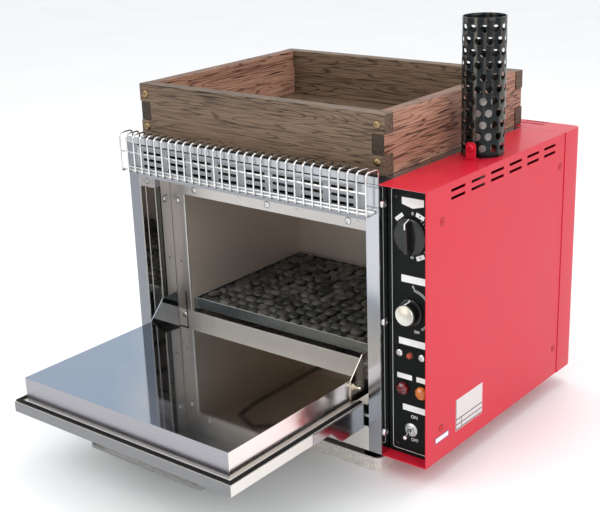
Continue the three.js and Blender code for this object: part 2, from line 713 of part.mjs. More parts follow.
// Chimney guard: a tube of cells with one round hole in each, every second row shifted by half a cell
const guardRadius = 31;
const guardWall = 1.3;
const guardHeight = 195.3;
const guardRows = 11;
const guardColumns = 12;
const guardFirstShare = 0.0753;
const guardPitchShare = 0.0855;
const guardHoleRadius = 5;
const guardHoleSides = 6;
const guardPhase = 7 * Math.PI / 180;
function perforatedTube() {
  const bottom = top + gap;
  const step = Math.PI / guardColumns;
  const pitch = guardHeight * guardPitchShare;
  const firstTop = bottom + guardHeight * (1 - guardFirstShare) + pitch / 2;
  const faces = [];
  const point = (wall, turn, z) => {
    const radius = guardRadius - wall * guardWall;
    return [flueX + Math.cos(turn + guardPhase) * radius, flueY + Math.sin(turn + guardPhase) * radius, z];
  };
  const face = (a, b, c, wall) => {
    const points = [a, b, c].map(([turn, z]) => point(wall, turn, z));
    faces.push(...(wall ? points.reverse() : points).flat());
  };
  const across = (a, b) => {
    const [p, q, r, s] = [point(0, ...a), point(0, ...b), point(1, ...b), point(1, ...a)];
    faces.push(...p, ...q, ...r, ...p, ...r, ...s);
  };
  const turnAt = (index) => ((index + guardColumns * 2) % (guardColumns * 2)) * step;
  const heightAt = (row) => firstTop - pitch * row;
  const cell = (index, row) => {
    const centre = index * step;
    const zMiddle = (heightAt(row) + heightAt(row + 1)) / 2;
    const edge = [[1, 1], [1, 0], [0, 0], [-1, 0], [-1, 1], [0, 1]].map(
      ([u, v]) => [turnAt(index + u), heightAt(row + v)]);
    const rim = [];
    for (let i = 0; i < guardHoleSides; i += 1) {
      const turn = (i - 0.5) / guardHoleSides * Math.PI * 2;
      rim.push([centre + Math.cos(turn) * guardHoleRadius / guardRadius, zMiddle + Math.sin(turn) * guardHoleRadius]);
    }
    for (const wall of [0, 1]) {
      for (let i = 0; i < guardHoleSides; i += 1) {
        const next = (i + 1) % guardHoleSides;
        face(edge[i], edge[next], rim[i], wall);
        face(edge[next], rim[next], rim[i], wall);
      }
    }
    for (let i = 0; i < guardHoleSides; i += 1) across(rim[i], rim[(i + 1) % guardHoleSides]);
  };
  for (let row = 0; row < guardRows; row += 1) {
    for (let i = 0; i < guardColumns; i += 1) cell(i * 2 + row % 2, row);
  }
  for (const [low, high] of [[bottom, heightAt(guardRows)], [heightAt(0), bottom + guardHeight]]) {
    for (let i = 0; i < guardColumns * 2; i += 1) {
      const [a, b] = [turnAt(i), turnAt(i + 1)];
      for (const wall of [0, 1]) {
        face([a, low], [b, low], [b, high], wall);
        face([a, low], [b, high], [a, high], wall);
      }
      if (low === bottom) across([b, low], [a, low]);
      else across([a, high], [b, high]);
    }
  }
  const shape = new THREE.BufferGeometry();
  shape.setAttribute('position', new THREE.Float32BufferAttribute(faces, 3));
  return solid(shape);
}
part('chimney_guard', perforatedTube(), darkChrome);

// Bracket in front of the guard with its screw
const tabWidth = 16;
const tabShift = 5;
const tabStand = 11;
const tabHeight = 25;
const tabRound = 5;
const tabFoot = 9;
const screwRadius = 3.5;
const screwHead = 2;
const screwDrop = 8;
const roundShare = 0.3;
const headShares = { edge: 0.7, rise: 0.8 };
const tabX = flueX + tabShift;
const tabY = flueY - guardRadius - tabStand;
const tabBottom = top + gap;
const tabOutline = [
  [tabX - tabWidth / 2, tabBottom], [tabX + tabWidth / 2, tabBottom],
  [tabX + tabWidth / 2, tabBottom + tabHeight - tabRound], [tabX + tabWidth / 2 - tabRound * roundShare,
    tabBottom + tabHeight - tabRound * roundShare], [tabX + tabWidth / 2 - tabRound, tabBottom + tabHeight],
  [tabX - tabWidth / 2 + tabRound, tabBottom + tabHeight], [tabX - tabWidth / 2 + tabRound * roundShare,
    tabBottom + tabHeight - tabRound * roundShare], [tabX - tabWidth / 2, tabBottom + tabHeight - tabRound],
];
const screwZ = tabBottom + tabHeight - screwDrop;
const tabPieces = [
  prism('y', tabOutline, tabY, tabY + sheet),
  box(tabX - tabWidth / 2, tabX + tabWidth / 2, tabY, tabY + tabFoot, tabBottom, tabBottom + sheet),
  turned('y', [
    [0, tabY - screwHead], [screwRadius * headShares.edge, tabY - screwHead * headShares.rise], [screwRadius, tabY + sheet / 2],
    [screwRadius / 2, tabY + sheet / 2], [screwRadius / 2, tabY + tabStand - gap * 2], [0, tabY + tabStand - gap * 2],
    [0, tabY - screwHead],
  ], [tabX, 0, screwZ], 10),
];
part('chimney_bracket', join(tabPieces), red);

// Outline of a bent strip: a line of points given a width
function strip(points, width) {
  const left = [];
  const rightSide = [];
  const last = points.length - 1;
  points.forEach((p, i) => {
    const from = points[Math.max(i - 1, 0)];
    const to = points[Math.min(i + 1, last)];
    const normals = [[from, p], [p, to]].filter(([a, b]) => a !== b).map(([a, b]) => {
      const length = Math.hypot(b[0] - a[0], b[1] - a[1]);
      return [-(b[1] - a[1]) / length, (b[0] - a[0]) / length];
    });
    const first = normals[0];
    const second = normals[normals.length - 1];
    const scale = width / 2 / (1 + first[0] * second[0] + first[1] * second[1]);
    const shift = [(first[0] + second[0]) * scale, (first[1] + second[1]) * scale];
    left.push([p[0] + shift[0], p[1] + shift[1]]);
    rightSide.unshift([p[0] - shift[0], p[1] - shift[1]]);
  });
  return [...left, ...rightSide];
}

// Wire guard hooked over the front rim: bent upright wires on long horizontal ones
const wire = 3;
const wireCount = 32;
const wireInset = 6;
const wireFrontGap = 20;
const hookSetback = 8;
const wireRise = 18;
const wireMiddle = 10.5;
const wireDrop = 41.5;
const weld = 0.4;
const wireY = front - wireFrontGap;
const hookY = front + hookSetback;
const wireTop = top + wireRise;
const wireLow = top - wireDrop;
const wireLine = [
  [hookY, top + gap], [hookY, wireTop], [wireY, wireTop], [wireY, wireLow], [front - gap, wireLow],
];
const wireStrip = strip(wireLine, wire);
const wirePitch = (cabinetWidth - wireInset * 2) / (wireCount - 1);
const wires = [];
for (let i = 0; i < wireCount; i += 1) {
  const x = -half + wireInset + wirePitch * i;
  wires.push(prism('x', wireStrip, x - wire / 2, x + wire / 2));
}
const wireEnd = half - wireInset + wire / 2;
const behind = wireY + wire / 2 - weld;
const above = wireLow + wire / 2 - weld;
const wireBar = top - wireMiddle - wire / 2;
wires.push(box(-wireEnd, wireEnd, behind, behind + wire, wireBar, wireBar + wire));
wires.push(box(-wireEnd, wireEnd, front - wire * 1.5, front - wire / 2, above, above + wire));
part('wire_guard', join(wires), steel);

// Wooden warming box with finger joints, standing on the deck
const boxSetback = 34.7;
const boxDepth = 377.6;
const boxHeight = 85.2;
const boxLeftInset = 0.7;
const boxRightInset = 12.5;
const board = 20;
const proud = 1.5;
const floorThickness = 6;
const floorLift = 4;
const groove = 5;
const boxLeft = -half + boxLeftInset;
const boxRight = half - boxRightInset;
const boxFront = front + boxSetback;
const boxBack = boxFront + boxDepth;
const boxBottom = top + gap;
const boxTop = boxBottom + boxHeight;
const fingerLow = boxBottom + boxHeight / 3;
const fingerHigh = boxBottom + boxHeight * 2 / 3;
const inner = board + proud;
const grooveBox = box(boxLeft + inner - groove, boxRight - inner + groove, boxFront + board - groove,
  boxBack - board + groove, boxBottom + floorLift, boxBottom + floorLift + floorThickness);
for (const [name, y] of [['front_board', boxFront], ['back_board', boxBack - board]]) {
  const notches = [[boxLeft - sheet, boxLeft + inner + gap], [boxRight - inner - gap, boxRight + sheet]].map(
    ([x0, x1]) => box(x0, x1, y - sheet, y + board + sheet, fingerLow - gap, fingerHigh + gap));
  part(name, cut(box(boxLeft, boxRight, y, y + board, boxBottom, boxTop), [...notches, grooveBox]), walnut);
}
for (const [name, x] of [['left_board', boxLeft + proud], ['right_board', boxRight - inner]]) {
  const plain = box(x, x + board, boxFront + board + gap, boxBack - board - gap, boxBottom, boxTop);
  const finger = box(x, x + board, boxFront + gap, boxBack - gap, fingerLow, fingerHigh);
  part(name, cut(join([plain, finger]), [grooveBox]), walnut);
}
part('box_floor', box(boxLeft + inner - groove + gap, boxRight - inner + groove - gap,
  boxFront + board - groove + gap, boxBack - board + groove - gap,
  boxBottom + floorLift + gap, boxBottom + floorLift + floorThickness - gap), walnut);

// Stone tray on its rails, with the bed of stones
const trayClear = 4;
const trayFrontGap = 1.7;
const trayBackGap = 10;
const trayHeight = 17.2;
const trayHalf = chamberHalf - trayClear;
const trayBottom = railTop + gap;
const trayTop = trayBottom + trayHeight;
const trayFront = chamberFront + trayFrontGap;
const trayBack = chamberBack - trayBackGap;
part('stone_tray', cut(
  box(-trayHalf, trayHalf, trayFront, trayBack, trayBottom, trayTop),
  [box(-trayHalf + sheet, trayHalf - sheet, trayFront + sheet, trayBack - sheet, trayBottom + sheet, trayTop + sheet)],
), satin);
const bedHalf = trayHalf - sheet - gap;
const bedFront = trayFront + sheet + gap;
const bedBack = trayBack - sheet - gap;
const bedBottom = trayBottom + sheet + gap;
const bedShare = 0.5;
const bedTop = bedBottom + trayHeight * bedShare;
const stoneColumns = 6;
const stoneRows = 5;
const stoneRise = 9;
const stoneShares = { long: 0.4, wide: 0.38, tall: 0.8, vary: 0.06, varyTall: 0.4, sink: 0.2 };
let seed = 7;
function chance() {
  seed = (seed * 16807) % 2147483647;
  return seed / 2147483647;
}
const bed = [box(-bedHalf, bedHalf, bedFront, bedBack, bedBottom, bedTop)];
const stoneX = bedHalf * 2 / stoneColumns;
const stoneY = (bedBack - bedFront) / stoneRows;
for (let row = 0; row < stoneRows; row += 1) {
  for (let column = 0; column < stoneColumns; column += 1) {
    const pebble = new THREE.IcosahedronGeometry(1, 0);
    pebble.rotateZ(chance() * Math.PI);
    const tall = stoneRise * (stoneShares.tall + chance() * stoneShares.varyTall);
    pebble.scale(stoneX * (stoneShares.long + chance() * stoneShares.vary),
      stoneY * (stoneShares.wide + chance() * stoneShares.vary), tall);
    const x = -bedHalf + stoneX * (column + 1 / 2 + (chance() - 1 / 2) * stoneShares.vary);
    const y = bedFront + stoneY * (row + 1 / 2 + (chance() - 1 / 2) * stoneShares.vary);
    pebble.translate(x, y, bedTop + tall * stoneShares.sink);
    bed.push(solid(pebble));
  }
}
part('stone_bed', join(bed), stone);

// Door in its open place: outer pan, mirror inner box, filling, gasket and handle
const panelRim = 20;
const innerEnd = doorEnd - gap * 2;
const innerFront = doorFront + innerInset;
const outerPan = cut(box(-panelHalf, panelHalf, doorFront, doorEnd, panelBottom, panelTop), [
  box(-panelHalf + sheet, panelHalf - sheet, doorFront + sheet, doorEnd - sheet, panelBottom + sheet,
    panelTop - sheet),
  box(-panelHalf + panelRim, panelHalf - panelRim, doorFront + panelRim, doorEnd - panelRim / 2,
    panelBottom + sheet, panelTop + sheet),
]);
part('door_outer_panel', outerPan, satin);
part('door_inner_box', cut(
  box(-innerHalf, innerHalf, innerFront, innerEnd, panelTop + gap, innerTopZ),
  [box(-innerHalf + sheet, innerHalf - sheet, innerFront + sheet, innerEnd - sheet, panelTop, innerTopZ - sheet)],
), mirror);
part('door_filling', box(-panelHalf + panelRim + gap, panelHalf - panelRim - gap, doorFront + panelRim + gap,
  doorEnd - panelRim / 2 - gap, panelBottom + sheet + gap, innerTopZ - sheet - gap), wool);
const gasketInset = 1.5;
const gasketWidth = 6;
const gasketHeight = 3;
const gasketOut = panelHalf - gasketInset;
const gasketIn = gasketOut - gasketWidth;
const gasketOutline = [
  [-gasketOut, innerEnd], [-gasketOut, doorFront + gasketInset], [gasketOut, doorFront + gasketInset],
  [gasketOut, innerEnd], [gasketIn, innerEnd], [gasketIn, doorFront + gasketInset + gasketWidth],
  [-gasketIn, doorFront + gasketInset + gasketWidth], [-gasketIn, innerEnd],
];
part('door_gasket', prism('z', gasketOutline, panelTop + gap, panelTop + gap + gasketHeight), rubber);
const handleShare = 0.253;
const handleFlare = 4;
const handleBar = 4;
const handleWidth = 20;
const handleInset = 50.5;
const handleStand = 49.4;
const handleHalf = panelHalf * 2 * handleShare;
const handleTop = panelBottom - gap;
const handleLow = handleTop - handleStand;
const handleLine = [
  [-handleHalf - handleFlare, handleTop], [-handleHalf, handleLow + handleBar / 2],
  [handleHalf, handleLow + handleBar / 2], [handleHalf + handleFlare, handleTop],
];
part('door_handle', prism('y', strip(handleLine, handleBar), doorFront + handleInset,
  doorFront + handleInset + handleWidth).trimByPlane([0, 0, -1], -handleTop), mirror);

// Cheek plates at the sides of the inner box, each with a stub bolt that guides it past the post
const cheekForward = 22.5;
const cheekRear = 40.5;
const cheekShoulder = 6.5;
const cheekPeak = 92;
const cheekSlope = 3;
const cheekLift = 0.9;
const stubSetback = 12.5;
const stubLift = 46;
const stubReach = 11;
const stubRadius = 3;
const washerRadius = 6.5;
const washerThickness = 2;
const cheekBase = panelTop + cheekLift;
for (const [hand, side] of [['left', -1], ['right', 1]]) {
  const cheekLine = [
    [pivotY - cheekForward, cheekBase], [pivotY - cheekForward, innerTopZ],
    [pivotY + cheekShoulder, pivotZ + cheekPeak - cheekSlope], [pivotY + cheekRear, pivotZ + cheekPeak],
    [pivotY + cheekRear, cheekBase],
  ];
  const reach = [cheekInner, cheekOuter].map((x) => x * side).sort((a, b) => a - b);
  const stubLine = [
    [0, -gap], [washerRadius, -gap], [washerRadius, washerThickness], [stubRadius, washerThickness],
    [stubRadius, stubReach], [0, stubReach], [0, -gap],
  ].map(([r, h]) => [r, side * (cheekOuter + h)]);
  const stub = turned('x', stubLine, [0, pivotY - stubSetback, pivotZ + stubLift], 10);
  part(`${hand}_cheek`, join([prism('x', cheekLine, ...reach), stub]), mirror);
}

// Hinge arms outside the panel and the bolts they turn on
const armReach = 125.5;
const footSetback = 87.5;
const footEnd = 65.5;
const footDrop = 14.4;
const armFoot = 1.1;
const armInner = panelHalf + gap * 1.5;
const armOuter = armInner + sheet;
const armTop = panelTop - gap;
const armArc = 5;
const headRadius = 7;
const headThickness = 3.5;
const headGap = 1.5;
const tailRadius = pivotSetback - sheet - gap;
const tailDepth = 1.5;
for (const [hand, side] of [['left', -1], ['right', 1]]) {
  const armLine = [
    [doorEnd, armTop], [pivotY - armReach, armTop], [pivotY - armReach, panelBottom + gap],
    [pivotY - footSetback, panelBottom + armFoot], [pivotY - footEnd, pivotZ - footDrop],
  ];
  for (let i = 0; i <= armArc; i += 1) {
    const turn = (i / armArc - 0.5) * Math.PI;
    armLine.push([pivotY + Math.cos(turn) * footDrop, pivotZ + Math.sin(turn) * footDrop]);
  }
  const reach = [armInner, armOuter].map((x) => x * side).sort((a, b) => a - b);
  const hole = rod('x', -half, half, boltRadius + gap, [0, pivotY, pivotZ], 12);
  part(`${hand}_hinge_arm`, cut(prism('x', armLine, ...reach), [hole]), mirror);
  const headEnd = armInner - headGap;
  const tailStart = openingHalf + sheet + gap;
  const boltLine = [
    [0, headEnd - headThickness], [headRadius, headEnd - headThickness], [headRadius, headEnd],
    [boltRadius, headEnd], [boltRadius, tailStart], [tailRadius, tailStart], [tailRadius, tailStart + tailDepth],
    [0, tailStart + tailDepth], [0, headEnd - headThickness],
  ].map(([r, h]) => [r, side * h]);
  part(`${hand}_pivot_bolt`, turned('x', boltLine, [0, pivotY, pivotZ], 12), steel);
}

export default group;
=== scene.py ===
import json
import math
import random

import bmesh
import bpy
from mathutils import Matrix, Vector

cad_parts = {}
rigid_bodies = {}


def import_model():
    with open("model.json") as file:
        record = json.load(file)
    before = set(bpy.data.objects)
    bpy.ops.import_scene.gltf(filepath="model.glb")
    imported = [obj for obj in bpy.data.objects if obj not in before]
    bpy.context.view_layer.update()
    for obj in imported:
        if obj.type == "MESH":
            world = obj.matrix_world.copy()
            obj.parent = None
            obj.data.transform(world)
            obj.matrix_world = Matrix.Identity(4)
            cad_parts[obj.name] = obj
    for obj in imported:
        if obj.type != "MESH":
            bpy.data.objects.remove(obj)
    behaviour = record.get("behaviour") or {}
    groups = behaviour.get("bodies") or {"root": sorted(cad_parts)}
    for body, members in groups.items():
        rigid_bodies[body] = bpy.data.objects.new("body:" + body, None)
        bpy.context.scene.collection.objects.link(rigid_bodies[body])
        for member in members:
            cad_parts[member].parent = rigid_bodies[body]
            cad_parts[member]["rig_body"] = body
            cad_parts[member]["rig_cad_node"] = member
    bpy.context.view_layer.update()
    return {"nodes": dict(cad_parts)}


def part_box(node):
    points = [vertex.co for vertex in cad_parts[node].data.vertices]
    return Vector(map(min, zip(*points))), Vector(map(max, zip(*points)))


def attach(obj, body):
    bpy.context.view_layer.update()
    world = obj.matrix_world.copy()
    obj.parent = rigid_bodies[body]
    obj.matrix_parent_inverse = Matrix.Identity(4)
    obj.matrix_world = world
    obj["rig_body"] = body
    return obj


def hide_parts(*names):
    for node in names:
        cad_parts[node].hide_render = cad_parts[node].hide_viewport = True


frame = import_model()
mm = 0.001
facingLimit = 0.9  # how far a normal has to lean to a side to count as facing it
print("frame loaded:", len(frame["nodes"]), "parts")


# helpers for modelling; they take sizes and places in mm

def boxOf(node):
    # low corner, high corner and middle of a CAD part
    low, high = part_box(node)
    return low / mm, high / mm, (low + high) / 2 / mm


def clearSelection():
    if bpy.context.object and bpy.context.object.mode != "OBJECT":
        bpy.ops.object.mode_set(mode="OBJECT")
    bpy.ops.object.select_all(action="DESELECT")


def pick(piece):
    clearSelection()
    piece.select_set(True)
    bpy.context.view_layer.objects.active = piece


def bakePlace(piece):
    pick(piece)
    bpy.ops.object.transform_apply(location=True, rotation=True, scale=True)


def named(name):
    # the object just made, with its place moved into its mesh
    piece = bpy.context.object
    piece.name = name
    bakePlace(piece)
    return piece


def startEdit(piece, kind="FACE", action="DESELECT"):
    pick(piece)
    bpy.ops.object.mode_set(mode="EDIT")
    bpy.ops.mesh.select_mode(type=kind)
    bpy.ops.mesh.select_all(action=action)


def endEdit(outward=False):
    if outward:
        bpy.ops.mesh.select_all(action="SELECT")
        bpy.ops.mesh.normals_make_consistent(inside=False)
    bpy.ops.object.mode_set(mode="OBJECT")


def looks(normal, sides, limit=facingLimit):
    # sides are such as "+z -y", or "x" for both sides of x; with none given every face passes
    return not sides or any(
        normal["xyz".index(side[-1])] * (-1 if side[0] == "-" else 1) > limit
        or len(side) == 1 and normal["xyz".index(side)] < -limit for side in sides.split())


def selectFaces(piece, sides="", test=lambda point: True):
    mesh = bmesh.from_edit_mesh(piece.data)
    for face in mesh.faces:
        face.select_set(looks(face.normal, sides) and test(face.calc_center_median() / mm))
    bmesh.update_edit_mesh(piece.data)


def selectEdges(piece, test):
    # the test gets the two ends of each edge
    mesh = bmesh.from_edit_mesh(piece.data)
    for edge in mesh.edges:
        edge.select_set(test(*(vertex.co / mm for vertex in edge.verts)))
    bmesh.update_edit_mesh(piece.data)


def selectVertices(piece, test):
    mesh = bmesh.from_edit_mesh(piece.data)
    for vertex in mesh.verts:
        vertex.select_set(test(vertex.co / mm))
    mesh.select_flush(True)
    bmesh.update_edit_mesh(piece.data)


def drawOut(move):
    bpy.ops.mesh.extrude_region_move(TRANSFORM_OT_translate={"value": Vector(move) * mm})


def shift(move):
    bpy.ops.transform.translate(value=Vector(move) * mm)


def resize(shares, centre=(0, 0, 0)):
    bpy.ops.transform.resize(value=shares, center_override=Vector(centre) * mm)


def useModifier(piece, kind, **settings):
    pick(piece)
    modifier = piece.modifiers.new(kind.title(), kind)
    for key, value in settings.items():
        setattr(modifier, key, value)
    bpy.ops.object.modifier_apply(modifier=modifier.name)


def repeat(piece, count, step, **settings):
    useModifier(piece, "ARRAY", count=count, use_relative_offset=False, use_constant_offset=True,
                constant_offset_displace=Vector(step) * mm, **settings)


def softenEdges(piece, width, segments=2, angle=30):
    useModifier(piece, "BEVEL", width=width * mm, segments=segments, limit_method="ANGLE",
                angle_limit=math.radians(angle), harden_normals=False)


def smooth(piece, angle=32):
    pick(piece)
    bpy.ops.object.shade_smooth_by_angle(angle=math.radians(angle))


def breakEdges(piece, width, segments=2):
    # large flat faces keep their own direction beside the rounded edges
    if width:
        softenEdges(piece, width, segments)
    smooth(piece)
    if width:
        useModifier(piece, "WEIGHTED_NORMAL", weight=50, keep_sharp=True)


def boxPiece(name, low, high):
    clearSelection()
    bpy.ops.mesh.primitive_cube_add(size=1, location=[(a + b) / 2 * mm for a, b in zip(low, high)],
                                    scale=[(b - a) * mm for a, b in zip(low, high)])
    return named(name)


def uprightSheet(name, centre, width, height):
    # flat face looking to the front
    clearSelection()
    bpy.ops.mesh.primitive_plane_add(size=1, location=Vector(centre) * mm, rotation=(math.pi / 2, 0, 0))
    bpy.context.object.scale = (width * mm, height * mm, 1)
    return named(name)


def turnedPiece(name, profile, sides=32):
    # profile pairs are radius and height; the shape starts as a disc and is drawn up
    clearSelection()
    radius, height = profile[0]
    bpy.ops.mesh.primitive_circle_add(vertices=sides, radius=radius * mm, location=(0, 0, height * mm),
                                      fill_type="NGON")
    piece = named(name)
    startEdit(piece, action="SELECT")
    for nextRadius, nextHeight in profile[1:]:
        drawOut((0, 0, nextHeight - height))
        share = nextRadius / radius
        resize((share, share, 1), (0, 0, nextHeight))
        radius, height = nextRadius, nextHeight
    endEdit(outward=True)
    return piece


facings = {"up": (0, "X"), "front": (90, "X"), "back": (-90, "X"), "right": (90, "Y"), "left": (-90, "Y")}


def turnTo(piece, place, facing="up", spin=0):
    angle, axis = facings[facing]
    piece.matrix_world = (Matrix.Translation(Vector(place) * mm) @ Matrix.Rotation(math.radians(angle), 4, axis)
                          @ Matrix.Rotation(math.radians(spin), 4, "Z"))
    bakePlace(piece)
    return piece


def tiltTo(piece, place, angle, axis):
    piece.matrix_world = Matrix.Translation(Vector(place) * mm) @ Matrix.Rotation(math.radians(angle), 4, axis)
    bakePlace(piece)
    return piece


def frontPiece(name, profile, sides, angle, place):
    # turned piece that looks to the front
    piece = turnedPiece(name, profile, sides)
    smooth(piece, angle)
    return turnTo(piece, place, "front")


def copyTo(source, place, facing="up", spin=0):
    pick(source)
    bpy.ops.object.duplicate()
    return turnTo(bpy.context.object, place, facing, spin)


def joinAll(name, parts):
    clearSelection()
    for part in parts:
        part.select_set(True)
    bpy.context.view_layer.objects.active = parts[0]
    if len(parts) > 1:
        bpy.ops.object.join()
    piece = bpy.context.object
    piece.name = name
    return piece


def nodeCopy(node, bevel=0.0):
    # welded copy of a CAD part, with its sheet edges broken
    pick(frame["nodes"][node])
    bpy.ops.object.duplicate()
    piece = bpy.context.object
    piece.parent = None
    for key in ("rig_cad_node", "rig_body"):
        del piece[key]
    piece.name = node + "Skin"
    bpy.ops.mesh.customdata_custom_splitnormals_clear()
    startEdit(piece, action="SELECT")
    bpy.ops.mesh.remove_doubles(threshold=0.02 * mm)
    bpy.ops.mesh.dissolve_limited(angle_limit=math.radians(0.6))
    endEdit()
    breakEdges(piece, bevel)
    return piece


def cutAt(piece, axis, places):
    # flush cuts across the whole piece, at places along x, y or z
    normal = Vector([float(axis == letter) for letter in "xyz"])
    startEdit(piece)
    for place in places:
        bpy.ops.mesh.select_all(action="SELECT")
        bpy.ops.mesh.bisect(plane_co=normal * place * mm, plane_no=normal)
    endEdit()


def secondFinish(piece, finish, sides="", test=lambda point: True, limit=facingLimit):
    # another finish on the faces that look to these sides and pass the test
    piece.data.materials.append(finishes[finish])
    for face in piece.data.polygons:
        if looks(face.normal, sides, limit) and test(face.center / mm):
            face.material_index = len(piece.data.materials) - 1


def dress(piece, body, slot, finish, *nodes):
    piece.data.materials.clear()
    piece.data.materials.append(finishes[finish])
    if nodes:
        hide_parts(*nodes)
    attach(piece, body)
    return piece


# finishes, all procedural on object coordinates

def setInputs(node, values):
    for key, value in values.items():
        node.inputs[key].default_value = value


def newFinish(name, tone, roughness, metallic=0.0, more=None):
    material = bpy.data.materials.new(name)
    material.use_nodes = True
    tree = material.node_tree
    shader = tree.nodes["Principled BSDF"]
    setInputs(shader, {"Base Color": (*tone, 1), "Roughness": roughness, "Metallic": metallic, **(more or {})})
    return material, tree, shader


def connect(tree, shader, colour, roughness):
    tree.links.new(colour, shader.inputs["Base Color"])
    tree.links.new(roughness, shader.inputs["Roughness"])


def objectPlace(tree):
    return tree.nodes.new("ShaderNodeTexCoord").outputs["Object"]


def stretched(tree, scale=(1, 1, 1)):
    mapping = tree.nodes.new("ShaderNodeMapping")
    mapping.inputs["Scale"].default_value = scale
    tree.links.new(objectPlace(tree), mapping.inputs["Vector"])
    return mapping.outputs["Vector"]


def cloud(tree, vector, scale=1.0, detail=3.0, rough=0.55, distortion=0.0):
    node = tree.nodes.new("ShaderNodeTexNoise")
    setInputs(node, {"Scale": scale, "Detail": detail, "Roughness": rough, "Distortion": distortion})
    tree.links.new(vector, node.inputs["Vector"])
    return node.outputs["Fac"]


def cells(tree, vector, scale, channel):
    # one chance value for each cell of a cracked pattern
    node = tree.nodes.new("ShaderNodeTexVoronoi")
    node.inputs["Scale"].default_value = scale
    tree.links.new(vector, node.inputs["Vector"])
    split = tree.nodes.new("ShaderNodeSeparateColor")
    tree.links.new(node.outputs["Color"], split.inputs["Color"])
    return split.outputs[channel]


def spread(tree, value, low, high, start=0.3, end=0.7):
    node = tree.nodes.new("ShaderNodeMapRange")
    setInputs(node, {"From Min": start, "From Max": end, "To Min": low, "To Max": high})
    tree.links.new(value, node.inputs["Value"])
    return node.outputs["Result"]


def combine(tree, kind, first, second=0):
    node = tree.nodes.new("ShaderNodeMath")
    node.operation = kind
    for socket, value in zip(node.inputs, (first, second)):
        if isinstance(value, (int, float)):
            socket.default_value = value
        else:
            tree.links.new(value, socket)
    return node.outputs["Value"]


def total(tree, first, *others):
    for value in others:
        first = combine(tree, "ADD", first, value)
    return first


def colours(tree, value, stops):
    node = tree.nodes.new("ShaderNodeValToRGB")
    ramp = node.color_ramp
    while len(ramp.elements) < len(stops):
        ramp.elements.new(0.5)
    for element, (place, tone) in zip(ramp.elements, stops):
        element.position = place
        element.color = (*tone, 1)
    tree.links.new(value, node.inputs["Fac"])
    return node.outputs["Color"]


def relief(tree, shader, height, strength, distance, below=None):
    # distance in metres
    node = tree.nodes.new("ShaderNodeBump")
    setInputs(node, {"Strength": strength, "Distance": distance})
    tree.links.new(height, node.inputs["Height"])
    if below:
        tree.links.new(below, node.inputs["Normal"])
    tree.links.new(node.outputs["Normal"], shader.inputs["Normal"])
    return node.outputs["Normal"]


def shade(tone, amount):
    return tuple(part * amount for part in tone)


grainScales = {"x": (5, 520, 520), "y": (520, 5, 520), "z": (520, 520, 5), "none": (60, 60, 60)}
brushDepth = 0.00012


def brushLines(tree, grain):
    return cloud(tree, stretched(tree, grainScales[grain]), 1, 3, 0.6)


def handMarks(tree):
    return cloud(tree, stretched(tree), 9, 4, 0.55, 0.6)


def steelFinish(name, grain, tone, roughness, streak=0.07, brushed=0.05, smudge=0.04, metal=1.0):
    material, tree, shader = newFinish(name, tone, roughness, metal)
    lines, marks = brushLines(tree, grain), handMarks(tree)
    connect(tree, shader, colours(tree, marks, [(0.3, shade(tone, 0.96)), (0.7, tone)]),
            total(tree, spread(tree, lines, roughness, roughness + streak),
                  spread(tree, marks, 0, smudge, 0.35, 0.75)))
    relief(tree, shader, lines, brushed, brushDepth)
    return material


def reflectionTintedSteel(name, cool, warm, roughness):
    # polished plate with a painted reflection, cool at the front left, warm at the back right
    material, tree, shader = newFinish(name, cool, roughness, 1.0)
    split = tree.nodes.new("ShaderNodeSeparateXYZ")
    tree.links.new(objectPlace(tree), split.inputs["Vector"])
    across = combine(tree, "MULTIPLY", split.outputs["X"], 4.5)
    deep = combine(tree, "MULTIPLY", total(tree, split.outputs["Y"], 0.29), 3.8)
    lines, marks = brushLines(tree, "x"), handMarks(tree)
    tint = total(tree, across, deep, spread(tree, marks, -0.12, 0.12))
    connect(tree, shader, colours(tree, spread(tree, tint, 0, 1, -0.9, 0.5), [(0.0, cool), (1.0, warm)]),
            total(tree, spread(tree, lines, roughness, roughness + 0.02), spread(tree, marks, 0, 0.02)))
    relief(tree, shader, lines, 0.01, brushDepth)
    return material


def paintFinish(name, tone, roughness, coat, peel, gloss):
    material, tree, shader = newFinish(name, tone, roughness, 0, {
        "Specular IOR Level": gloss, "Coat Weight": coat, "Coat Roughness": 0.07})
    vector = stretched(tree)
    skin = cloud(tree, vector, 420, 2, 0.5)
    dust = cloud(tree, vector, 11, 5, 0.6, 0.4)
    connect(tree, shader, colours(tree, dust, [(0.3, shade(tone, 0.93)), (0.75, tone)]),
            spread(tree, dust, roughness, roughness + 0.1, 0.35, 0.75))
    relief(tree, shader, skin, peel, 0.0002)
    return material


def plasticFinish(name, tone, roughness, grainSize=900, grainDepth=0.08):
    material, tree, shader = newFinish(name, tone, roughness)
    vector = stretched(tree)
    fine = cloud(tree, vector, grainSize, 2, 0.6)
    rubbed = cloud(tree, vector, 60, 3, 0.6)
    connect(tree, shader, colours(tree, rubbed, [(0.3, shade(tone, 0.88)), (0.7, tone)]),
            spread(tree, rubbed, roughness, roughness + 0.12))
    relief(tree, shader, fine, grainDepth, 0.0001)
    return material


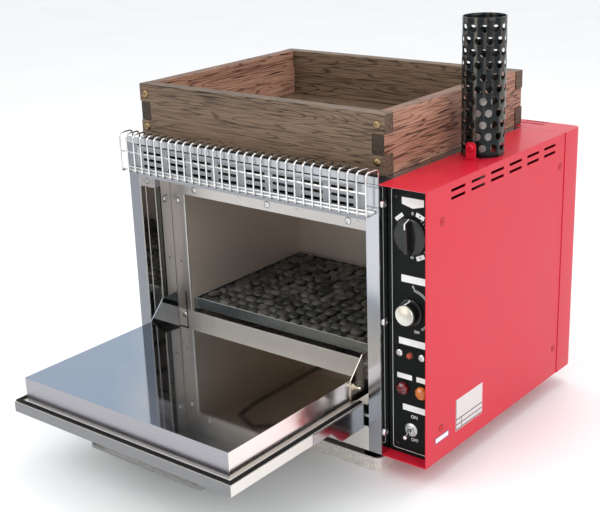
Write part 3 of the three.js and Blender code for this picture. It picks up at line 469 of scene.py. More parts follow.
def woodFinish(name, grain, dark, middle, light):
    material, tree, shader = newFinish(name, middle, 0.42, 0, {"Specular IOR Level": 0.28})

    def along(long, cross):
        return stretched(tree, (long, cross, cross) if grain == "x" else (cross, long, cross))

    lines = combine(tree, "SINE", combine(tree, "MULTIPLY", cloud(tree, along(3.4, 46), 1, 2.5, 0.45, 0.12), 96))
    pores = cloud(tree, along(40, 700), 1, 4, 0.65)
    patches = cloud(tree, along(1.36, 18.4), 1, 3, 0.5)
    dashes = cloud(tree, along(15, 640), 1, 1, 0.4)
    grainValue = total(tree, spread(tree, lines, 0.04, 0.34, -0.98, -0.5), spread(tree, pores, -0.12, 0.12),
                       spread(tree, patches, -0.05, 0.26), spread(tree, dashes, -0.3, 0.06, 0.32, 0.47))
    connect(tree, shader, colours(tree, grainValue, [(0.06, dark), (0.42, middle), (0.85, light)]),
            spread(tree, pores, 0.56, 0.42))
    first = relief(tree, shader, lines, 0.1, 0.0002)
    relief(tree, shader, pores, 0.3, 0.0003, first)
    return material


def spangleFinish(name, tone, roughness):
    material, tree, shader = newFinish(name, tone, roughness, 1.0)
    vector = stretched(tree)
    flake = cells(tree, vector, 95, "Red")
    connect(tree, shader, colours(tree, flake, [(0.0, shade(tone, 0.78)), (1.0, tone)]),
            spread(tree, flake, roughness, roughness + 0.18, 0, 1))
    relief(tree, shader, cloud(tree, vector, 240, 3), 0.08, 0.0002)
    return material


def roughFinish(name, dark, light, roughness, scale, depth, distance, metallic=0.0, gloss=0.5):
    material, tree, shader = newFinish(name, light, roughness, metallic, {"Specular IOR Level": gloss})
    vector = stretched(tree)
    body = cloud(tree, vector, scale, 5, 0.62, 0.3)
    fine = cloud(tree, vector, scale * 7, 3, 0.6)
    connect(tree, shader, colours(tree, body, [(0.32, dark), (0.68, light)]),
            spread(tree, fine, roughness - 0.07, min(roughness + 0.07, 1)))
    first = relief(tree, shader, body, depth, distance)
    relief(tree, shader, fine, depth * 0.6, distance / 4, first)
    return material


def stoneFinish(name, dark, middle, light):
    material, tree, shader = newFinish(name, middle, 0.4)
    vector = stretched(tree)
    speck = cloud(tree, vector, 700, 3, 0.7)
    mottle = total(tree, combine(tree, "MULTIPLY", cells(tree, vector, 42, "Green"), 0.7),
                   spread(tree, speck, -0.1, 0.3))
    connect(tree, shader, colours(tree, mottle, [(0.0, dark), (0.5, middle), (1.0, light)]),
            spread(tree, speck, 0.3, 0.52))
    relief(tree, shader, speck, 0.15, 0.0004)
    return material


def highlightStreakFinish(name, dark, light, roughness):
    # upright streaks of painted highlight round a rolled sheet, over its own dark tone
    material, tree, shader = newFinish(name, dark, roughness, 0.35, {"Specular IOR Level": 0.35})
    highlightStreaks = cloud(tree, stretched(tree, (88, 88, 1.6)), 1, 1.5, 0.4)
    fine = cloud(tree, stretched(tree, (420, 420, 9)), 1, 3, 0.6)
    connect(tree, shader, colours(tree, highlightStreaks, [(0.5, dark), (0.6, shade(light, 0.3)), (0.7, light)]),
            spread(tree, fine, roughness, roughness + 0.08))
    relief(tree, shader, fine, 0.04, brushDepth)
    return material


def lensFinish(name, tone, glow):
    material, tree, shader = newFinish(name, tone, 0.08, 0, {
        "Transmission Weight": 0.25, "IOR": 1.49, "Coat Weight": 1.0, "Coat Roughness": 0.03,
        "Emission Color": (*tone, 1), "Emission Strength": glow})
    swirl = cloud(tree, stretched(tree), 260, 2, 0.5)
    connect(tree, shader, colours(tree, swirl, [(0.25, shade(tone, 0.55)), (0.75, tone)]),
            spread(tree, swirl, 0.05, 0.12))
    relief(tree, shader, swirl, 0.1, 0.0003)
    return material


# steelFinish: grain direction, tone, roughness, then streak, brushed, smudge and metal where they differ
recipes = {
    "steelAcross": (steelFinish, "x", (0.46, 0.47, 0.49), 0.12),
    "steelDeep": (steelFinish, "y", (0.46, 0.47, 0.49), 0.12),
    "postSteel": (steelFinish, "z", (0.52, 0.53, 0.56), 0.13, 0.06, 0.03, 0.03),
    # darker copy of the post steel for the left post: painted shade
    "leftPostSteel": (steelFinish, "z", (0.245, 0.253, 0.28), 0.16, 0.06, 0.04),
    "mirrorSteel": (steelFinish, "z", (0.6, 0.6, 0.61), 0.035, 0.02, 0.0, 0.015),
    # dark steel for the left post's groove: painted shade
    "darkMirror": (steelFinish, "z", (0.12, 0.12, 0.11), 0.09, 0.05, 0.02, 0.03),
    "ventSteel": (steelFinish, "x", (0.33, 0.34, 0.36), 0.32, 0.08, 0.04),
    "flangeSteel": (steelFinish, "z", (0.6, 0.57, 0.54), 0.34, 0.08, 0.06),
    "boxFront": (steelFinish, "x", (0.38, 0.37, 0.4), 0.24, 0.08, 0.06),
    # pale bright steel for the door box's ends: painted light
    "boxEnd": (steelFinish, "none", (0.95, 0.87, 0.83), 0.13, 0.06, 0.12),
    # painted reflection on the door box and cheeks: cool at the front left, warm at the back right
    "doorSteel": (reflectionTintedSteel, (0.29, 0.36, 0.46), (0.68, 0.62, 0.53), 0.035),
    "satinSteel": (steelFinish, "x", (0.38, 0.39, 0.38), 0.28, 0.12, 0.2),
    # darker copy of the satin steel for the front faces of the door panel and handle: painted shade
    "panelEdge": (steelFinish, "x", (0.25, 0.253, 0.26), 0.26, 0.12, 0.2),
    "paleSteel": (steelFinish, "none", (0.82, 0.78, 0.73), 0.36, 0.16, 0.4, 0.04, 0.6),
    # pale steel for painted highlights on edges and lit faces
    "edgeSteel": (steelFinish, "z", (0.95, 0.92, 0.87), 0.3, 0.1, 0.1, 0.04, 0.35),
    "seamShade": (steelFinish, "x", (0.05, 0.05, 0.055), 0.4, 0.1, 0.1),
    "plinthSteel": (roughFinish, (0.52, 0.48, 0.44), (0.92, 0.86, 0.8), 0.5, 420, 0.25, 0.0002, 0.3),
    "trayShade": (steelFinish, "x", (0.36, 0.4, 0.4), 0.16, 0.05, 0.02, 0.04, 0.9),
    "wireMetal": (steelFinish, "none", (0.8, 0.8, 0.79), 0.14, 0.06),
    "screwMetal": (steelFinish, "none", (0.74, 0.74, 0.73), 0.16, 0.08, 0.08),
    "brass": (steelFinish, "none", (0.36, 0.25, 0.13), 0.3, 0.12, 0.2),
    "capMetal": (steelFinish, "none", (0.78, 0.76, 0.7), 0.24, 0.1, 0.12),
    # painted highlight streaks on the dark chimney guard
    "darkChrome": (highlightStreakFinish, (0.006, 0.009, 0.009), (0.17, 0.16, 0.135), 0.08),
    "linerSteel": (steelFinish, "z", (0.7, 0.61, 0.53), 0.38, 0.1, 0.1, 0.14, 0.6),
    "zincSteel": (spangleFinish, (0.6, 0.62, 0.63), 0.36),
    "heaterSheath": (roughFinish, (0.09, 0.08, 0.07), (0.2, 0.18, 0.16), 0.45, 60, 0.2, 0.0003, 0.8),
    "redPaint": (paintFinish, (0.64, 0.012, 0.034), 0.36, 0.25, 0.05, 0.25),
    "coverHeads": (steelFinish, "none", (0.62, 0.022, 0.04), 0.12, 0.04, 0.03, 0.04, 0.3),
    "coverShade": (steelFinish, "x", (0.2, 0.005, 0.012), 0.4, 0.1, 0.1, 0.04, 0.3),
    "blackPanel": (paintFinish, (0.008, 0.011, 0.01), 0.26, 0.0, 0.02, 0.09),
    "blackPlastic": (plasticFinish, (0.01, 0.011, 0.01), 0.15, 700, 0.03),
    "palePlastic": (plasticFinish, (0.7, 0.64, 0.5), 0.4),
    "print": (plasticFinish, (0.9, 0.9, 0.88), 0.5, 900, 0.02),
    "dotInk": (plasticFinish, (0.02, 0.02, 0.02), 0.5),
    "borderInk": (plasticFinish, (0.06, 0.14, 0.4), 0.45),
    "plateFilm": (steelFinish, "x", (0.8, 0.8, 0.8), 0.4, 0.1),
    "buttonRed": (plasticFinish, (0.4, 0.06, 0.035), 0.25),
    "redLens": (lensFinish, (0.2, 0.003, 0.008), 0.02),
    "amberLens": (lensFinish, (0.8, 0.2, 0.012), 0.1),
    "rubber": (roughFinish, (0.004, 0.004, 0.004), (0.012, 0.012, 0.012), 0.7, 120, 0.3, 0.0003, 0.0, 0.15),
    "wool": (roughFinish, (0.42, 0.36, 0.24), (0.72, 0.66, 0.5), 0.93, 40, 0.9, 0.004),
    "boardAcross": (woodFinish, "x", (0.026, 0.016, 0.009), (0.145, 0.094, 0.06), (0.25, 0.17, 0.112)),
    "boardDeep": (woodFinish, "y", (0.046, 0.02, 0.012), (0.22, 0.112, 0.07), (0.36, 0.2, 0.135)),
    # lighter copy of the side boards' wood, for their +x faces: painted light
    "boardWarm": (woodFinish, "y", (0.06, 0.024, 0.014), (0.37, 0.19, 0.125), (0.62, 0.36, 0.26)),
    "endGrain": (roughFinish, (0.02, 0.014, 0.009), (0.07, 0.048, 0.032), 0.6, 300, 0.3, 0.0003, 0.0, 0.25),
    # lighter copy of the end grain, for the front and back boards' side ends: painted light
    "endWarm": (roughFinish, (0.05, 0.032, 0.021), (0.17, 0.115, 0.08), 0.6, 300, 0.3, 0.0003, 0.0, 0.25),
    "stone": (stoneFinish, (0.016, 0.018, 0.018), (0.06, 0.058, 0.051), (0.17, 0.155, 0.13)),
}
finishes = {name: make(name, *values) for name, (make, *values) in recipes.items()}

slotFinishes = {
    "polished_steel": "steelAcross", "satin_steel": "satinSteel", "liner_steel": "linerSteel",
    "galvanised": "zincSteel", "heater_sheath": "heaterSheath", "bright_metal": "screwMetal",
    "dark_chrome": "darkChrome", "red_paint": "redPaint", "black_panel": "blackPanel",
    "black_plastic": "blackPlastic", "pale_plastic": "palePlastic", "red_button": "buttonRed",
    "red_lens": "redLens", "amber_lens": "amberLens", "rubber": "rubber", "insulation": "wool",
    "stained_wood": "boardAcross", "stones": "stone",
}
nodeSlots = {name: node.data.materials[0].name.split(".")[0] for name, node in frame["nodes"].items()}
for name, node in frame["nodes"].items():
    node.data.materials.clear()
    node.data.materials.append(finishes[slotFinishes[nodeSlots[name]]])
print("finishes made:", len(finishes))


# sheet metal and boards: the CAD parts with softened edges

# part: (body, finish, edge radius)
skins = {
    "base_plinth": ("cabinet", "plinthSteel", 1.2),
    "cabinet_shell": ("cabinet", "mirrorSteel", 0.5),
    "right_post": ("cabinet", "postSteel", 0.5),
    "front_sill": ("cabinet", "paleSteel", 0.5),
    "vent_panel": ("cabinet", "ventSteel", 0.35),
    "top_deck": ("cabinet", "steelAcross", 0.5),
    "mouth_flange": ("cabinet", "flangeSteel", 0.6),
    "chamber_liner": ("cabinet", "linerSteel", 0.35),
    "rear_cover": ("cabinet", "redPaint", 0.6),
    "control_panel": ("cabinet", "blackPanel", 0.35),
    "flue_pipe": ("cabinet", "paleSteel", 0.3),
    "cable_gland": ("cabinet", "blackPlastic", 0.4),
    "inner_back_panel": ("cabinet", "zincSteel", 0.3),
    "stone_tray": ("tray", "trayShade", 0.5),
    "door_outer_panel": ("door", "satinSteel", 0.6),
    "door_inner_box": ("door", "doorSteel", 1.1),
    "door_handle": ("door", "steelAcross", 0.8),
    "left_cheek": ("door", "doorSteel", 0.4),
    "right_cheek": ("door", "doorSteel", 0.4),
    "left_hinge_arm": ("door", "steelDeep", 0.35),
    "right_hinge_arm": ("door", "steelDeep", 0.35),
    "left_pivot_bolt": ("cabinet", "screwMetal", 0.5),
    "right_pivot_bolt": ("cabinet", "screwMetal", 0.5),
    "front_board": ("warming_box", "boardAcross", 1.0),
    "back_board": ("warming_box", "boardAcross", 1.0),
    "left_board": ("warming_box", "boardDeep", 1.0),
    "right_board": ("warming_box", "boardDeep", 1.0),
    "box_floor": ("warming_box", "boardAcross", 0.4),
    "lower_heater": ("cabinet", "heaterSheath", 0.0),
    "upper_heater": ("cabinet", "heaterSheath", 0.0),
    "left_tray_rail": ("cabinet", "zincSteel", 0.3),
    "right_tray_rail": ("cabinet", "zincSteel", 0.3),
    "chimney_bracket": ("cabinet", "redPaint", 0.35),
}
pieces = {}
for node, (body, finish, edge) in skins.items():
    pieces[node] = dress(nodeCopy(node, edge), body, nodeSlots[node], finish, node)
# painted light on the handle's upward faces; its front gets painted shade below
secondFinish(pieces["door_handle"], "edgeSteel", "+z", limit=0.5)
# second finishes: end grain on the side boards' ends; painted light on the wood's +x faces, the front and back boards'
# side ends, the door box's ends and the outer panel's top and ends; painted shade on the outer panel's and the handle's
# fronts; satin on the box front
for node, finish, sides in (
        ("left_board", "endGrain", "y"), ("right_board", "endGrain", "y"),
        ("front_board", "endWarm", "x"), ("back_board", "endWarm", "x"),
        ("left_board", "boardWarm", "+x"), ("right_board", "boardWarm", "+x"),
        ("door_inner_box", "boxEnd", "x"), ("door_inner_box", "boxFront", "-y"),
        ("door_outer_panel", "paleSteel", "+z x"), ("door_outer_panel", "panelEdge", "-y"),
        ("door_handle", "panelEdge", "-y")):
    secondFinish(pieces[node], finish, sides)
# painted light: the flange's lower rail in the paler finish
mouthLow = 137.5
cutAt(pieces["mouth_flange"], "z", [mouthLow])
secondFinish(pieces["mouth_flange"], "paleSteel", test=lambda point: point.z < mouthLow)
# painted highlight along the tray's top edge
trayRim = boxOf("stone_tray")[1].z
secondFinish(pieces["stone_tray"], "edgeSteel", "+z", lambda point: point.z > trayRim - 1.5)

# painted shade on the strip of deck between its rim and the warming box
deckShadeStrip = {"back": -187.0, "top": 433.0}
cutAt(pieces["top_deck"], "y", [deckShadeStrip["back"]])
secondFinish(pieces["top_deck"], "seamShade", "+z",
             lambda point: point.y < deckShadeStrip["back"] and point.z < deckShadeStrip["top"])

# a folded edge up both sides of the mouth, standing a little proud, in the highlight finish: painted highlight along it
m = mouthSizes = {"half": 185.6, "edge": 1.9, "proud": 0.9, "low": 138.5, "high": 337.0}
flangeFace = boxOf("mouth_flange")[0].y
rims = []
for side in (-1, 1):
    inner, outer = sorted((side * m["half"], side * (m["half"] + m["edge"])))
    rim = boxPiece("mouthRim", (inner, flangeFace - m["proud"], m["low"]), (outer, flangeFace - 0.01, m["high"]))
    softenEdges(rim, 0.35)
    rims.append(rim)
rims = joinAll("mouthRims", rims)
smooth(rims)
dress(rims, "cabinet", "polished_steel", "edgeSteel")

# a shallow seam along the top of the vent panel, with painted shade in it
ventPanel = pieces["vent_panel"]
seamHeight, seamDepth = 1.6, 0.4
hair = 0.01  # keeps walls that lie right on a border to one side of it
low, high, centre = boxOf("vent_panel")
seamLow, ventFace = high.z - seamHeight, low.y
cutAt(ventPanel, "z", [seamLow])
startEdit(ventPanel)
selectFaces(ventPanel, "-y", lambda point: point.y < ventFace + seamDepth / 2 and point.z > seamLow)
drawOut((0, seamDepth, 0))
endEdit()
secondFinish(ventPanel, "seamShade",
             test=lambda point: point.z > seamLow - hair and point.y > ventFace + seamDepth / 4)

# the left post, a shaded copy of the post steel (painted shade): painted highlights make its folded edges bright lines
# on its inner wall, and painted shade fills the upright groove behind them; that wall is mirror steel in front of the
# groove and flange steel behind it
groove = {"front": -188.0, "back": -177.3, "low": 118.0, "high": 352.0, "depth": 3.0}
foldLines = [(-221.0, -218.8), (-209.8, -208.0), (-190.4, -188.0)]
leftPost = nodeCopy("left_post")
postInner = boxOf("left_post")[1].x
cutAt(leftPost, "y", sorted({place for pair in foldLines for place in pair} | {groove["front"], groove["back"]}))
cutAt(leftPost, "z", [groove["low"], groove["high"]])


def inGroove(point):
    # with its back and low walls, without its front and top ones
    return (groove["front"] + hair < point.y < groove["back"] + hair
            and groove["low"] - hair < point.z < groove["high"] - hair)


startEdit(leftPost)
selectFaces(leftPost, "+x", lambda point: abs(point.x - postInner) < 0.5 and inGroove(point))
drawOut((-groove["depth"], 0, 0))
endEdit()
breakEdges(leftPost, 0.5)
dress(leftPost, "cabinet", nodeSlots["left_post"], "leftPostSteel", "left_post")
secondFinish(leftPost, "mirrorSteel", "+x", lambda point: point.y < groove["front"])
secondFinish(leftPost, "edgeSteel", "+x", lambda point: any(low < point.y < high for low, high in foldLines))
secondFinish(leftPost, "flangeSteel", "+x", lambda point: point.y > groove["back"])
secondFinish(leftPost, "darkMirror", test=lambda point: point.x < postInner - 0.6 and inGroove(point))

# the side cover stands back a little, so that its screw heads stay within the housing's width
coverInset = 1.0
cover = nodeCopy("side_cover")
coverFace = boxOf("side_cover")[1].x - coverInset
startEdit(cover, "VERT")
selectVertices(cover, lambda point: point.x > coverFace - coverInset)
shift((-coverInset, 0, 0))
endEdit()
breakEdges(cover, 0.7, 3)
dress(cover, "cabinet", "red_paint", "redPaint", "side_cover")
print("sheet metal and boards dressed")


# screws

# head radius, rise, slot width, slot length, slot depth
screwSizes = {
    "pan": (5.5, 2.6, 1.1, 6.2, 1.3),
    "small": (2.6, 0.9, 0.6, 3.0, 0.6),
    "low": (4.7, 0.9, 1.0, 5.4, 0.6),
    "recess": (6.2, 3.2, 1.3, 7.0, 1.5),
    "cover": (4.8, 1.0, 1.2, 6.0, 0.8),
    "brass": (5.7, 2.6, 1.1, 6.0, 1.0),
}
ringSizes = {"low": 5.4, "flange": 5.7, "post": 6.3, "cover": 5.9}


def crossScrew(name, radius, rise, wide, long, deep):
    head = turnedPiece(name + "Head", [(radius, -0.2), (radius, rise * 0.3), (radius * 0.88, rise * 0.68),
                                       (radius * 0.6, rise * 0.93), (radius * 0.25, rise)], 20)
    for turn in (45, 135):
        cutter = boxPiece("cutter", (-long / 2, -wide / 2, rise - deep), (long / 2, wide / 2, rise * 2))
        turnTo(cutter, (0, 0, 0), "up", turn)
        useModifier(head, "BOOLEAN", operation="DIFFERENCE", object=cutter, solver="EXACT")
        bpy.data.objects.remove(cutter)
    smooth(head, 40)
    return head


heads = {name: crossScrew(name, *sizes) for name, sizes in screwSizes.items()}


def screwRow(name, head, facing, places, body="cabinet", slot="polished_steel", finish="screwMetal"):
    screws = [copyTo(heads[head], place, facing, 17 * i) for i, place in enumerate(places)]
    dress(joinAll(name, screws), body, slot, finish)


def shadeRingRow(name, size, facing, places, slot="polished_steel", finish="seamShade"):
    # painted shade: a dark ring round each head, where it meets the sheet
    radius = ringSizes[size]
    ring = turnedPiece("ringSource", [(radius, -0.1), (radius, 0.15), (radius * 0.7, 0.15)], 24)
    rings = [copyTo(ring, place, facing) for place in places]
    bpy.data.objects.remove(ring)
    dress(joinAll(name, rings), "cabinet", slot, finish)


flangeTop = [(x, flangeFace, 348) for x in (-163.9, -13.1, 138.8)]
flangeCorners = [(x, flangeFace, z) for z in (325.7, 128) for x in (-203, 203)]
leftPlaces = [(postInner, -167.5, z) for z in (329.6, 128)]
rightPlaces = [(-postInner, -167.5, z) for z in (329.6, 128)]
screwRow("flangeTopScrews", "low", "front", flangeTop)
screwRow("flangeScrews", "pan", "front", flangeCorners)
screwRow("flangeRivets", "small", "front", [(x, flangeFace, 348) for x in (-70.8, 44, 155.5)])
# painted shade rings round the flange and post screw heads
shadeRingRow("flangeTopRings", "low", "front", flangeTop)
shadeRingRow("flangeRings", "flange", "front", flangeCorners)
shadeRingRow("leftPostRings", "post", "right", leftPlaces)
shadeRingRow("rightPostRings", "post", "left", rightPlaces)
# painted shade: each small hole drawn as a thin dark disc
holes = []
for side, facing in ((-1, "right"), (1, "left")):
    for place, way in (((side * 203, flangeFace, 222), "front"), ((-side * postInner, -167.5, 229), facing)):
        hole = turnedPiece("hole", [(1.5, -0.1), (1.5, 0.12), (1.1, 0.12)], 16)
        holes.append(turnTo(hole, place, way))
dress(joinAll("smallHoles", holes), "cabinet", "polished_steel", "seamShade")
screwRow("leftPostScrews", "pan", "right", leftPlaces)
screwRow("rightPostScrews", "pan", "left", rightPlaces)
screwRow("recessScrews", "recess", "right", [(238.5, -210, 402.5), (238.5, -210, 233.5), (238.5, -211, 64.8)])
coverPlaces = [(coverFace, y, z) for y, z in ((-181.2, 382.5), (155.4, 381.7), (155.4, 79.5), (-181.3, 80.5))]
screwRow("coverScrews", "cover", "right", coverPlaces, slot="red_paint", finish="coverHeads")
# painted shade ring round each cover screw head
shadeRingRow("coverRings", "cover", "right", coverPlaces, "red_paint", "coverShade")
rearFace = boxOf("rear_cover")[1].y
screwRow("rearScrews", "cover", "back", [(x, rearFace, z) for z in (52, 232, 412) for x in (-220, 38, 296)],
         slot="red_paint", finish="redPaint")
panelFace = boxOf("control_panel")[0].y
screwRow("panelScrews", "small", "front", [(x, panelFace, z) for z in (413, 47) for x in (252.6, 301)],
         slot="black_panel", finish="blackPlastic")
for name, y, facing in (("frontBoardScrews", -186.3, "front"), ("backBoardScrews", 191.3, "back")):
    screwRow(name, "brass", facing, [(x, y, z) for x in (-225, 213) for z in (450.5, 502)],
             "warming_box", "stained_wood", "brass")
print("screws placed")


# wire guard

guardSizes = {"wire": 2.7, "count": 32, "inset": 6.0, "bend": 3.2, "arch": 6.5, "hookY": -213.0, "frontY": -241.0,
              "top": 450.0, "low": 390.5, "foot": 432.3, "tipY": -221.3}


def bentWire(start, heading, steps, radius, sides=10, bendSteps=4):
    # each step goes straight for a length, or turns up and over, about x, on a bend radius
    clearSelection()
    bpy.ops.mesh.primitive_circle_add(vertices=sides, radius=radius * mm, fill_type="NGON")
    place, heading = Vector(start), Vector(heading)
    bpy.context.object.matrix_world = (Matrix.Translation(place * mm)
                                       @ heading.to_track_quat("Z", "Y").to_matrix().to_4x4())
    piece = named("wire")
    startEdit(piece, action="SELECT")
    for kind, length in steps:
        if kind == "go":
            drawOut(heading * length)
            place = place + heading * length
        else:
            centre = place + Vector((1, 0, 0)).cross(heading) * length
            bpy.ops.mesh.spin(steps=bendSteps, angle=-math.pi / 2, center=centre * mm, axis=(1, 0, 0))
            turn = Matrix.Rotation(math.pi / 2, 3, "X")
            place = centre + turn @ (place - centre)
            heading = turn @ heading
    endEdit(outward=True)
    return piece


g = guardSizes
half = boxOf("cabinet_shell")[1].x
pitch = (half - g["inset"]) * 2 / (g["count"] - 1)
upright = bentWire((g["inset"] - half, g["hookY"], g["foot"]), (0, 0, 1), [
    ("go", g["top"] - g["foot"] - g["arch"]), ("turn", g["arch"]),
    ("go", g["hookY"] - g["frontY"] - 2 * g["arch"]), ("turn", g["arch"]),
    ("go", g["top"] - g["low"] - g["arch"] - g["bend"]), ("turn", g["bend"]),
    ("go", g["tipY"] - g["frontY"] - g["bend"])], g["wire"] / 2)
repeat(upright, g["count"], (pitch, 0, 0))
barHalf = half - g["inset"] + g["wire"] / 2
bars = [bentWire((-barHalf, y, z), (1, 0, 0), [("go", barHalf * 2)], g["wire"] / 2)
        for y, z in ((-238.4, 421.5), (-224.0, 393.1), (-238.1, 393.3))]
wireGuard = joinAll("wireGuard", [upright] + bars)
softenEdges(wireGuard, 0.4, 2, 60)
smooth(wireGuard, 50)
dress(wireGuard, "guard", "bright_metal", "wireMetal", "wire_guard")
print("wire guard bent")


# perforated chimney guard

chimneySizes = {"radius": 31.0, "wall": 1.3, "height": 195.3, "rows": 11, "columns": 12, "hole": 5.45,
                "firstShare": 0.0753, "pitchShare": 0.0855, "turn": -15.7, "cornerPoints": 24}
c = chimneySizes
low, high, centre = boxOf("chimney_guard")
cellWidth = 2 * math.pi * c["radius"] / c["columns"]
cellHeight = c["height"] * c["pitchShare"]
cellMiddle = Vector((cellWidth / 2, 0, cellHeight / 2))
cell = uprightSheet("cell", cellMiddle, cellWidth, cellHeight)
startEdit(cell, "EDGE", "SELECT")
bpy.ops.mesh.delete(type="ONLY_FACE")
bpy.ops.mesh.select_all(action="SELECT")
bpy.ops.mesh.subdivide(number_cuts=c["cornerPoints"] // 4 - 1)
bpy.ops.mesh.primitive_circle_add(vertices=c["cornerPoints"], radius=c["hole"] * mm, location=cellMiddle * mm,
                                  rotation=(math.pi / 2, 0, 0))
bpy.ops.mesh.select_all(action="SELECT")
bpy.ops.mesh.bridge_edge_loops()
endEdit()
repeat(cell, c["columns"], (cellWidth, 0, 0), use_merge_vertices=True, merge_threshold=0.02 * mm)
tube = joinAll("chimneyGuard", [cell, copyTo(cell, (cellWidth / 2, 0, cellHeight))])
repeat(tube, (c["rows"] + 1) // 2, (0, 0, 2 * cellHeight))
rowsTop = c["rows"] * cellHeight
startEdit(tube)
selectFaces(tube, test=lambda point: point.z > rowsTop)
bpy.ops.mesh.delete(type="FACE")
bpy.ops.mesh.select_all(action="SELECT")
bpy.ops.mesh.remove_doubles(threshold=0.03 * mm)
topStrip = c["height"] * c["firstShare"] - cellHeight / 2
lowStrip = c["height"] - rowsTop - topStrip
for level, move in ((rowsTop, topStrip), (0, -lowStrip)):
    bpy.ops.mesh.select_mode(type="VERT")
    bpy.ops.mesh.select_all(action="DESELECT")
    selectVertices(tube, lambda point: abs(point.z - level) < 0.05)
    bpy.ops.mesh.select_mode(type="EDGE")
    drawOut((0, 0, move))
endEdit()
across = [vertex.co.x / mm for vertex in tube.data.vertices]
useModifier(tube, "SIMPLE_DEFORM", deform_method="BEND", deform_axis="Z",
            angle=2 * math.pi * (max(across) - min(across)) / (cellWidth * c["columns"]))
startEdit(tube, action="SELECT")
bpy.ops.mesh.remove_doubles(threshold=0.05 * mm)
endEdit(outward=True)
axisPlace = Vector((0, c["radius"], 0)) * mm
face = tube.data.polygons[0]
if (face.center - axisPlace).to_2d().dot(face.normal.to_2d()) < 0:
    startEdit(tube, action="SELECT")
    bpy.ops.mesh.flip_normals()
    endEdit()
tube.data.transform(Matrix.Translation(Vector((0, 0, lowStrip)) * mm - axisPlace))
turnTo(tube, (centre.x, centre.y, low.z), "up", c["turn"])
useModifier(tube, "SOLIDIFY", thickness=c["wall"] * mm, offset=-1)
softenEdges(tube, 0.28, 2, 50)
smooth(tube, 40)
dress(tube, "cabinet", "dark_chrome", "darkChrome", "chimney_guard")
print("chimney guard rolled:", len(tube.data.polygons), "faces")


# pebbles in the tray

pebbleSizes = {"columns": 17, "rows": 13, "length": 12.6, "width": 10.2, "rise": 6.6, "jitter": 0.1, "seed": 11}
p = pebbleSizes
low, high, centre = boxOf("stone_bed")
chance = random.Random(p["seed"])
clearSelection()
bpy.ops.mesh.primitive_ico_sphere_add(subdivisions=2, radius=mm)
pebble = named("pebble")
startEdit(pebble, "VERT")
selectVertices(pebble, lambda point: point.z < -0.6)
resize((1.05, 1.1, 0.8))
bpy.ops.mesh.select_all(action="DESELECT")
selectVertices(pebble, lambda point: point.x > 0.6)
resize((0.9, 0.8, 0.9))
endEdit()
smooth(pebble, 60)
bed = []
stepX, stepY = (high.x - low.x) / p["columns"], (high.y - low.y) / p["rows"]
for row in range(p["rows"]):
    for column in range(p["columns"]):
        stone = pebble.copy()
        stone.data = pebble.data.copy()
        bpy.context.collection.objects.link(stone)
        size = [p[key] * chance.uniform(0.82, 1.12) for key in ("length", "width", "rise")]
        x = low.x + stepX * (column + 0.5 + chance.uniform(-p["jitter"], p["jitter"]))
        y = low.y + stepY * (row + 0.5 + chance.uniform(-p["jitter"], p["jitter"]))
        place = Vector((min(max(x, low.x + size[0]), high.x - size[0]), min(max(y, low.y + size[0]), high.y - size[0]),
                        high.z - size[2] * 1.12 - chance.uniform(0, 3.2)))
        lean = chance.uniform(-0.25, 0.25)
        stone.matrix_world = (Matrix.Translation(place * mm) @ Matrix.Rotation(chance.uniform(0, math.pi), 4, "Z")
                              @ Matrix.Rotation(lean, 4, "X") @ Matrix.Diagonal((*size, 1)))
        bed.append(stone)
bed.append(boxPiece("pebbleFloor", low, (high.x, high.y, low.z + 6)))
stones = joinAll("pebbles", bed)
bakePlace(stones)
dress(stones, "tray", "stones", "stone", "stone_bed")
bpy.data.objects.remove(pebble)
print("pebbles laid:", p["rows"] * p["columns"])


# control panel: print, knobs, lamps and switches

panelSizes = {"middle": 276.25, "timer": 361.0, "thermostat": 253.0, "reset": 189.5, "toggle": 75.0,
              "film": 0.25, "typeScale": 1.4}
k = panelSizes
middle, timer, thermostat, film = k["middle"], k["timer"], k["thermostat"], k["film"]


def flatPrint(centre, size, turn=0, corner=0.0, lift=0.0):
    # a thin plate glued on the panel, centre in x and z, turned in degrees
    half = Vector((*size, film)) / 2
    piece = boxPiece("plate", -half, half)
    if corner:
        startEdit(piece, "EDGE")
        selectEdges(piece, lambda a, b: abs(a.z - b.z) > film / 2)
        bpy.ops.mesh.bevel(offset=corner * mm, segments=4)
        endEdit()
    return turnTo(piece, (centre[0], panelFace - film / 2 - lift, centre[1]), "front", turn)


def wordPiece(word, centre, height):
    clearSelection()
    bpy.ops.object.text_add()
    text = bpy.context.object.data
    text.body = word
    text.align_x, text.align_y = "CENTER", "CENTER"
    text.size = height * k["typeScale"] * mm
    text.extrude = film / 2 * mm
    text.resolution_u = 3
    bpy.ops.object.convert(target="MESH")
    return turnTo(bpy.context.object, (centre[0], panelFace - film / 2, centre[1]), "front")


def arcLine(centre, radius, start, end, width):
    # thin printed arc on the panel; angles in degrees from the top, clockwise as seen
    piece = uprightSheet("arc", (0, 0, radius), 0.01, width)
    startEdit(piece, "VERT")
    selectVertices(piece, lambda point: point.x > 0)
    bpy.ops.mesh.select_mode(type="EDGE")
    bpy.ops.mesh.spin(steps=(end - start) // 6, angle=math.radians(start - end), center=(0, 0, 0), axis=(0, 1, 0))
    endEdit()
    tiltTo(piece, (centre[0], panelFace - film, centre[1]), start, "Y")
    startEdit(piece, action="SELECT")
    endEdit(outward=True)
    useModifier(piece, "SOLIDIFY", thickness=film * mm, offset=0)
    return piece


pentagonPlace, pentagonShoulder = (279.3, 407.0), 4.5
patchHigh, patchLow = (middle + 14.5, timer + 29.6), (middle + 15.0, timer - 27.5)
tickRadius, tickPitch, tickStart, tickLimit = 28.4, 9.5, 35, 302

